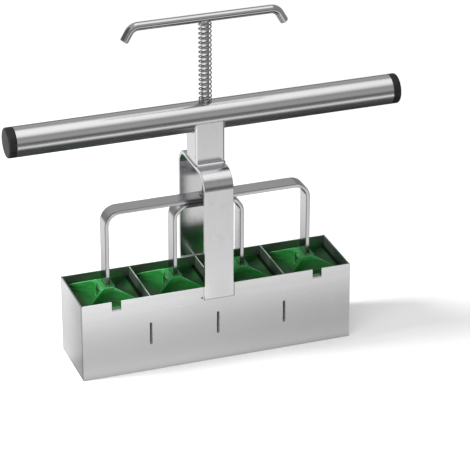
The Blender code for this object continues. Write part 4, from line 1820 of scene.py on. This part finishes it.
@dataclass
class Plungers(SubAssembly):
    """The four plungers with their rivets and seed pins."""

    places: tuple[float, ...] = (-78 * MM, -26 * MM, 26 * MM, 78 * MM)
    half: float = 25.2 * MM
    rim_z: float = 53.2 * MM
    plate: float = 3 * MM
    boss_half_x: float = 6 * MM
    boss_end_half_x: float = 4 * MM
    boss_half_y: float = 8.5 * MM
    boss_height: float = 10.3 * MM
    ridge_fall: float = 0.85
    scoop_fall: float = 16.0
    crowding: float = 1.5
    rings: int = 26
    side_steps: int = 30
    ridge_round: float = 0.6 * MM
    ridge_steps: int = 3
    ridge_sharp: float = math.radians(8)
    ridge_miss: float = 0.001
    slot_width: float = 3.6 * MM
    slot_length: float = 13.3 * MM
    slot_low: float = 55.7 * MM
    slot_over: float = 2 * MM
    rivet_z: float = 59.2 * MM
    rivet_shank: float = 1.6 * MM
    rivet_head: float = 2.6 * MM
    rivet_head_height: float = 1.2 * MM
    rivet_inner: float = 5.3 * MM
    rivet_steps: int = 32
    dome_steps: int = 9
    recess: float = 4 * MM
    recess_depth: float = 1 * MM
    recess_open: float = 8 * MM
    recess_steps: int = 20
    pin_radius: float = 5 * MM
    pin_tip: float = 3.2 * MM
    pin_length: float = 8 * MM
    pin_tip_round: float = 1.2 * MM
    pin_chamfer: float = 0.3 * MM
    pin_steps: int = 40
    tip_steps: int = 6
    spigot_radius: float = 2 * MM
    spigot_length: float = 1.9 * MM
    gap: float = 0.3 * MM

    def side_points(self, half_x: float, half_y: float,
                    bulge: float) -> list[tuple[float, float, float]]:
        """Return points round a rectangle, each with how near it is to a corner.

        Args:
            half_x: Half the rectangle's width.
            half_y: Half its length.
            bulge: How far its left and right sides stand out at their middles.

        Returns:
            Triples of x, y and the nearness from 0 to 1.
        """
        corners = [(half_x, -half_y), (half_x, half_y), (-half_x, half_y), (-half_x, -half_y)]
        points = []
        for index, (x0, y0) in enumerate(corners):
            x1, y1 = corners[(index + 1) % 4]
            for step in range(self.side_steps):
                share = step / self.side_steps
                near = abs(2 * share - 1)
                x = x0 + (x1 - x0) * share
                if x0 == x1:
                    x += math.copysign(bulge * (1 - near * near), x)
                points.append((x, y0 + (y1 - y0) * share, near))
        return points

    def plunger_shape(self) -> bmesh.types.BMesh:
        """Return a plunger about its own middle: a plate whose ridges climb to a boss.

        Returns:
            The shape, with the plate's upper face at height 0.
        """
        rim = self.side_points(self.half, self.half, 0.0)
        top = self.side_points(self.boss_end_half_x, self.boss_half_y,
                               self.boss_half_x - self.boss_end_half_x)
        shape = bmesh.new()
        rings = [[shape.verts.new((x, y, -self.plate)) for x, y, _ in rim]]
        for ring in range(self.rings + 1):
            share = 1.0 - (1.0 - ring / self.rings) ** self.crowding
            points = []
            for (x0, y0, near), (x1, y1, _) in zip(rim, top):
                fall = self.scoop_fall + (self.ridge_fall - self.scoop_fall) * near * near
                points.append(shape.verts.new((x0 + (x1 - x0) * share, y0 + (y1 - y0) * share,
                                               self.boss_height * share ** fall)))
            rings.append(points)
        skin(shape, rings, closed=False)
        shape.faces.new(list(reversed(rings[0])))
        shape.faces.new(rings[-1])
        bmesh.ops.recalc_face_normals(shape, faces=shape.faces)
        return shape

    def on_ridge(self, edge: bmesh.types.BMEdge) -> bool:
        """Return whether an edge is on a ridge, the rim or the boss's top.

        Args:
            edge: The edge.

        Returns:
            True where both its ends are.
        """
        run = (self.half - self.boss_end_half_x, self.half - self.boss_half_y)
        for vertex in edge.verts:
            away_x = (self.half - abs(vertex.co.x)) / run[0]
            away_y = (self.half - abs(vertex.co.y)) / run[1]
            on_line = abs(away_x - away_y) < self.ridge_miss
            on_top = vertex.co.z > self.boss_height - MERGE
            on_rim = max(abs(vertex.co.x), abs(vertex.co.y)) > self.half - MERGE
            if not (on_line or on_top or on_rim):
                return False
        return True

    def build_plunger(self, index: int, place_x: float) -> None:
        """Build one plunger.

        Args:
            index: Its number, from 1 at the left.
            place_x: Its place along the mould.
        """
        name = "plunger_%d" % index
        shape = self.plunger_shape()
        soften(shape, self.ridge_round, self.ridge_steps, self.ridge_sharp, self.on_ridge)
        put(shape, Matrix.Translation((place_x, 0, self.rim_z)))
        slot_high = self.rim_z + self.boss_height + self.slot_over
        tools = [box_tool(Vector((self.slot_width, self.slot_length, slot_high - self.slot_low)),
                          Vector((place_x, 0, (slot_high + self.slot_low) / 2)))]
        outline = [(-self.recess, self.recess_open)]
        outline += arc((0, 0), self.recess, 180, 360, self.recess_steps)
        outline.append((self.recess, self.recess_open))
        for side in Side:
            centre = place_x + side.value * (2 * self.boss_half_x - self.recess_depth)
            recess = plate([outline], 2 * self.boss_half_x,
                           Matrix.Translation((centre, 0, self.rivet_z)) @ ACROSS_MOULD)
            tools.append(to_mesh(recess, "tool"))
        mesh = cut_away(to_mesh(shape, "plunger"), tools)
        self.add(name, mesh, Body.PRESS, Slot.GREEN_PLASTIC,
                 level_line(place_x - self.half, place_x + self.half, self.rim_z), Y_AXIS, [name])

    def build_rivet(self, index: int, place_x: float) -> None:
        """Build the rivet through one plunger and its leg.

        Args:
            index: Its number.
            place_x: Its place along the mould.
        """
        name = "plunger_rivet_%d" % index
        upper = [(0, self.rivet_inner + self.rivet_head_height)]
        for step in range(1, self.dome_steps):
            angle = math.radians(90) * step / self.dome_steps
            upper.append((self.rivet_head * math.sin(angle),
                          self.rivet_inner + self.rivet_head_height * math.cos(angle)))
        upper += [(self.rivet_head, self.rivet_inner), (self.rivet_shank, self.rivet_inner)]
        profile = upper + [(radius, -height) for radius, height in reversed(upper)]
        shape = turned(profile, self.rivet_steps, closed=False)
        put(shape, Matrix.Translation((place_x, 0, self.rivet_z)) @ AXIS_TO_X)
        self.add(name, to_mesh(shape, name), Body.PRESS, Slot.ROD_STEEL,
                 level_line(place_x - self.half, place_x + self.half, self.rivet_z), Y_AXIS, [name])

    def build_pin(self, index: int, place_x: float) -> None:
        """Build the seed pin under one plunger.

        Args:
            index: Its number.
            place_x: Its place along the mould.
        """
        name = "seed_pin_%d" % index
        profile = [(0, self.spigot_length), (self.spigot_radius, self.spigot_length),
                   (self.spigot_radius, -self.gap), (self.pin_radius - self.pin_chamfer, -self.gap),
                   (self.pin_radius, -self.gap - self.pin_chamfer)]
        profile += arc((self.pin_tip - self.pin_tip_round, self.pin_tip_round - self.pin_length),
                       self.pin_tip_round, 0, -90, self.tip_steps)
        profile.append((0, -self.pin_length))
        shape = turned(profile, self.pin_steps, closed=False)
        low = self.rim_z - self.plate
        put(shape, Matrix.Translation((place_x, 0, low)))
        self.add(name, to_mesh(shape, name), Body.PRESS, Slot.GREEN_PLASTIC,
                 upright_line(low - self.pin_length, low, place_x), X_AXIS, [name])

    def build(self) -> None:
        """Build every plunger with its rivet and pin."""
        for index, place_x in enumerate(self.places, start=1):
            self.build_plunger(index, place_x)
            self.build_rivet(index, place_x)
            self.build_pin(index, place_x)


@dataclass
class Studio:
    """A pale floor, soft light and a camera at the photograph's angle.

    A span gives where a mask is 0 and where it is 1. In the surroundings, places are parts of
    a direction of length 1, so that a height of -1 is straight down.
    """

    floor_size: float = 8.0
    floor_cells: int = 8
    floor_grey: float = 0.93
    floor_glow: float = 0.3
    glow_span: Span = (0.28, 0.7)

    # Painted shade on the floor as the metal shows it: the floor glows darker the nearer the metal is
    # to it
    near_gain: float = 1.3
    near_reach: Span = (0.139, 0.150)
    near_levels: tuple[Span, ...] = (
        (0.0, 0.32), (0.004, 0.42), (0.01, 0.47), (0.035, 0.43), (0.068, 0.46),
        (0.1025, 0.62), (0.1275, 0.93), (0.15, 0.97))

    # Painted glow on the floor behind the tool, and painted shade towards its right, as the metal
    # shows it
    back_level: float = 0.76
    back_share: float = 0.5
    back_span: Span = (0.0, 0.02)
    fade_share: float = 0.22
    fade_span: Span = (-0.10, 0.13)

    # A painted dark wedge of shade on the floor outside each front corner, seen in the metal alone
    wedge_corner: Point2 = (0.1045, 0.0265)
    wedge_soft: float = 0.006
    wedge_dark: float = 0.9

    # A painted pale strip of light on the floor in front of the bail's foot, seen in the metal alone
    strip_half: float = 11.2 * MM
    strip_far: float = -0.165
    strip_near: float = -0.126
    strip_slant: float = 0.357
    strip_start: float = -0.0298
    strip_side_soft: float = 0.5 * MM
    strip_end_soft: float = 2 * MM
    strip_level: float = 0.72

    # The surroundings: their level by height, in front of the tool and on its left
    ambient: float = 0.46
    bands: tuple[Span, ...] = (
        (-1.0, 0.05), (-0.76, 0.05), (-0.68, 0.12), (-0.58, 0.44), (-0.52, 0.80),
        (-0.40, 0.82), (-0.35, 0.24), (-0.20, 0.17), (-0.05, 0.06), (0.02, 0.13),
        (0.16, 0.32), (0.30, 0.35), (0.48, 0.31), (0.68, 0.26), (0.81, 0.80), (0.90, 0.98), (1.0, 1.0))
    left_bands: tuple[Span, ...] = (
        (-1.0, 0.30), (-0.70, 0.30), (-0.62, 0.86), (-0.40, 0.86), (-0.33, 1.0), (-0.22, 1.0),
        (-0.14, 0.22), (0.10, 0.26), (0.40, 0.38), (1.0, 0.36))
    left_span: Span = (-0.08, -0.22)

    # Behind the tool the bands stand higher and are a little paler, and its lowest part is dark
    behind_span: Span = (0.0, 0.6)
    behind_shift: float = 0.22
    behind_lift: float = 0.05
    under_y: Span = (0.05, 0.35)
    under_z: Span = (-0.15, -0.35)
    under_level: float = 0.06

    # Panels far out on the left, in its back corner and on the right
    far_left_x: Span = (-0.50, -0.66)
    far_left_z: Span = (-0.2, 0.2)
    far_left_low: float = 0.95
    far_left_high: float = 0.10
    corner_x: Span = (-0.40, -0.50)
    corner_y: Span = (0.45, 0.58)
    corner_z: Span = (-0.15, -0.30)
    corner_level: float = 0.2
    right_span: Span = (0.40, 0.55)
    right_level: float = 0.24

    # Lamps and camera
    key_place: Point3 = (-1.08, 0.19, 0.86)
    key_size: float = 0.45
    key_power: float = 32.0
    fill_place: Point3 = (-0.75, -0.85, 0.80)
    fill_size: float = 1.2
    fill_power: float = 11.0
    lamp_aim: Point3 = (0.0, 0.0, 0.08)
    azimuth: float = -19.675
    elevation: float = 26.051
    distance: float = 1.9313
    target: Point3 = (0.0227, 0.0, 0.08618)
    lens: float = 199.79
    sensor: float = 36.0
    clip: Span = (0.05, 50.0)

    def build_floor(self) -> None:
        """Build the floor, which reads white and keeps a faint shadow."""
        shape = bmesh.new()
        bmesh.ops.create_grid(shape, x_segments=self.floor_cells, y_segments=self.floor_cells,
                              size=self.floor_size / 2)
        floor = bpy.data.objects.new("floor", to_mesh(shape, "floor"))
        bpy.context.scene.collection.objects.link(floor)
        material, graph = new_material("floor_paper")
        path = graph.node("ShaderNodeLightPath", {}, {})
        camera = Value(graph, path.outputs["Is Camera Ray"])
        place = graph.output("ShaderNodeTexCoord", {}, {}, "Object")
        away = graph.output("ShaderNodeVectorMath", {"operation": "LENGTH"}, {0: place}, "Value")
        share = self.floor_glow + (1.0 - self.floor_glow) * away.above(*self.glow_span)
        paper = graph.output("ShaderNodeBsdfDiffuse", {},
                             {"Color": (*grey(self.floor_grey), 1.0)}, 0)
        glow = graph.output("ShaderNodeEmission", {}, {"Color": (*WHITE, 1.0), "Strength": 1.0}, 0)
        plain = graph.choose(camera * share, paper, glow)
        mirrored = Value(graph, path.outputs["Is Glossy Ray"])
        length = Value(graph, path.outputs["Ray Length"])
        surface = graph.choose(mirrored, plain, self.mirrored_floor(graph, length, place))
        graph.node("ShaderNodeOutputMaterial", {}, {"Surface": surface})
        floor.data.materials.append(material)

    def mirrored_floor(self, graph: Graph, length: Value, place: Value) -> Value:
        """Return the floor's shader as it shows in the metal: a glow with painted shade and light,
        clear beyond its near part.

        Args:
            graph: The floor's graph.
            length: The length of the ray that meets the floor.
            place: The place on the floor.

        Returns:
            The shader.
        """
        x, y, _ = graph.split(place)
        reach = self.near_levels[-1][0]
        stops = [(away / reach, level) for away, level in self.near_levels]
        # Painted shade: darker the nearer the metal is to the floor.
        level = graph.ramp(length * (1.0 / reach), stops)
        back = y.above(*self.back_span) * self.back_share
        level = graph.mix(back, level, grey(self.back_level))
        level = graph.mix(x.above(*self.fade_span) * self.fade_share, level, BLACK)
        corner_x, corner_y = self.wedge_corner
        wedges = ((x.size() - corner_x) - (y + corner_y).size()).above(0.0, self.wedge_soft)
        level = graph.mix(wedges * self.wedge_dark, level, BLACK)
        aside = (x + self.strip_slant * (y - self.strip_start)).size()
        strip = aside.above(self.strip_half, self.strip_half - self.strip_side_soft)
        strip = strip * y.above(self.strip_far, self.strip_far + self.strip_end_soft)
        strip = strip * y.above(self.strip_near, self.strip_near - self.strip_end_soft)
        level = graph.mix(strip, level, grey(self.strip_level / self.near_gain))
        near = graph.output("ShaderNodeEmission", {}, {"Color": level, "Strength": self.near_gain}, 0)
        clear = graph.output("ShaderNodeBsdfTransparent", {}, {}, 0)
        return graph.choose(length.above(*self.near_reach), near, clear)

    @staticmethod
    def banded(graph: Graph, height: Value, bands: Sequence[Span]) -> Value:
        """Return the surroundings' level at a height.

        Args:
            graph: The world's graph.
            height: The height, from -1 to 1.
            bands: Pairs of a height and the level there.

        Returns:
            The level as a grey colour.
        """
        stops = [((place + 1) / 2, level) for place, level in bands]
        return graph.ramp(0.5 + 0.5 * height, stops)

    def build_world(self) -> None:
        """Build the surroundings: white to the camera, soft panels in the metal."""
        world = bpy.data.worlds.new("studio")
        bpy.context.scene.world = world
        world.use_nodes = True
        graph = Graph(world.node_tree)
        path = graph.node("ShaderNodeLightPath", {}, {})
        camera = Value(graph, path.outputs["Is Camera Ray"])
        through = Value(graph, path.outputs["Is Transmission Ray"])
        mirrored = Value(graph, path.outputs["Is Glossy Ray"])
        x, y, z = graph.split(graph.output("ShaderNodeTexCoord", {}, {}, "Generated"))
        behind = y.above(*self.behind_span)
        panels = self.banded(graph, z - self.behind_shift * behind, self.bands)
        panels = graph.mix(behind * self.behind_lift, panels, WHITE)
        under = y.above(*self.under_y) * z.above(*self.under_z)
        panels = graph.mix(under, panels, grey(self.under_level))
        left = self.banded(graph, z, self.left_bands)
        panels = graph.mix(x.above(*self.left_span), panels, left)
        far_left = graph.mix(z.above(*self.far_left_z), grey(self.far_left_low),
                             grey(self.far_left_high))
        panels = graph.mix(x.above(*self.far_left_x), panels, far_left)
        corner = x.above(*self.corner_x) * y.above(*self.corner_y) * z.above(*self.corner_z)
        panels = graph.mix(corner, panels, grey(self.corner_level))
        panels = graph.mix(x.above(*self.right_span), panels, grey(self.right_level))
        colour = graph.mix(mirrored, grey(self.ambient), panels)
        colour = graph.mix(camera + through, colour, WHITE)
        background = graph.output("ShaderNodeBackground", {}, {"Color": colour, "Strength": 1.0}, 0)
        graph.node("ShaderNodeOutputWorld", {}, {"Surface": background})

    def build_light(self, name: str, place: Point3, size: float, power: float) -> None:
        """Build one soft lamp, aimed at the tool.

        Args:
            name: Its name.
            place: Where it stands.
            size: Its width.
            power: Its power in watts.
        """
        data = bpy.data.lights.new(name, "AREA")
        data.shape = "DISK"
        data.size = size
        data.energy = power
        light = bpy.data.objects.new(name, data)
        bpy.context.scene.collection.objects.link(light)
        light.location = place
        aim = Vector(self.lamp_aim) - light.location
        light.rotation_euler = aim.to_track_quat("-Z", "Y").to_euler()
        light.visible_glossy = False

    def build_camera(self) -> None:
        """Build the camera at the photograph's angle."""
        azimuth, elevation = math.radians(self.azimuth), math.radians(self.elevation)
        back = Vector((math.sin(azimuth) * math.cos(elevation),
                       -math.cos(azimuth) * math.cos(elevation), math.sin(elevation)))
        data = bpy.data.cameras.new("camera")
        data.lens = self.lens
        data.sensor_width = self.sensor
        data.clip_start, data.clip_end = self.clip
        camera = bpy.data.objects.new("camera", data)
        bpy.context.scene.collection.objects.link(camera)
        camera.location = Vector(self.target) + back * self.distance
        camera.rotation_euler = (-back).to_track_quat("-Z", "Y").to_euler()
        bpy.context.scene.camera = camera

    def build(self) -> None:
        """Build the whole studio."""
        self.build_floor()
        self.build_world()
        self.build_light("key_lamp", self.key_place, self.key_size, self.key_power)
        self.build_light("fill_lamp", self.fill_place, self.fill_size, self.fill_power)
        self.build_camera()
        bpy.context.scene.view_settings.view_transform = "Standard"


def make_finishes() -> dict[Slot, bpy.types.Material]:
    """Build the finish of every slot.

    Returns:
        The materials by slot.
    """
    return {
        Slot.MOULD_STEEL: SHEET_STEEL.material(), Slot.BAR_STEEL: BAR_STEEL.material(),
        Slot.TUBE_STEEL: TUBE_STEEL.material(), Slot.ROD_STEEL: ROD_STEEL.material(),
        Slot.SPRING_STEEL: SPRING_WIRE.material(), Slot.GREEN_PLASTIC: PLUNGER_GREEN.material(),
        Slot.BLACK_PLASTIC: CAP_BLACK.material()}


def main() -> None:
    """Build the studio and every sub-assembly."""
    logging.basicConfig(level=logging.INFO, format="%(name)s: %(message)s")
    Studio().build()
    finishes = make_finishes()
    Mould(finishes).build()
    Bail(finishes).build()
    Neck(finishes).build()
    HandleTube(finishes).build()
    Spring(finishes).build()
    PushRod(finishes).build()
    PushHandle(finishes).build()
    yoke_finishes = {Slot.BAR_STEEL: YOKE_STEEL.material()}
    Yoke(yoke_finishes).build()
    Yoke(yoke_finishes, name="inner_yoke", half_span=27.5 * MM, high=120.2 * MM).build()
    RodFasteners(finishes).build()
    Plungers(finishes).build()


if __name__ == "__main__":
    main()
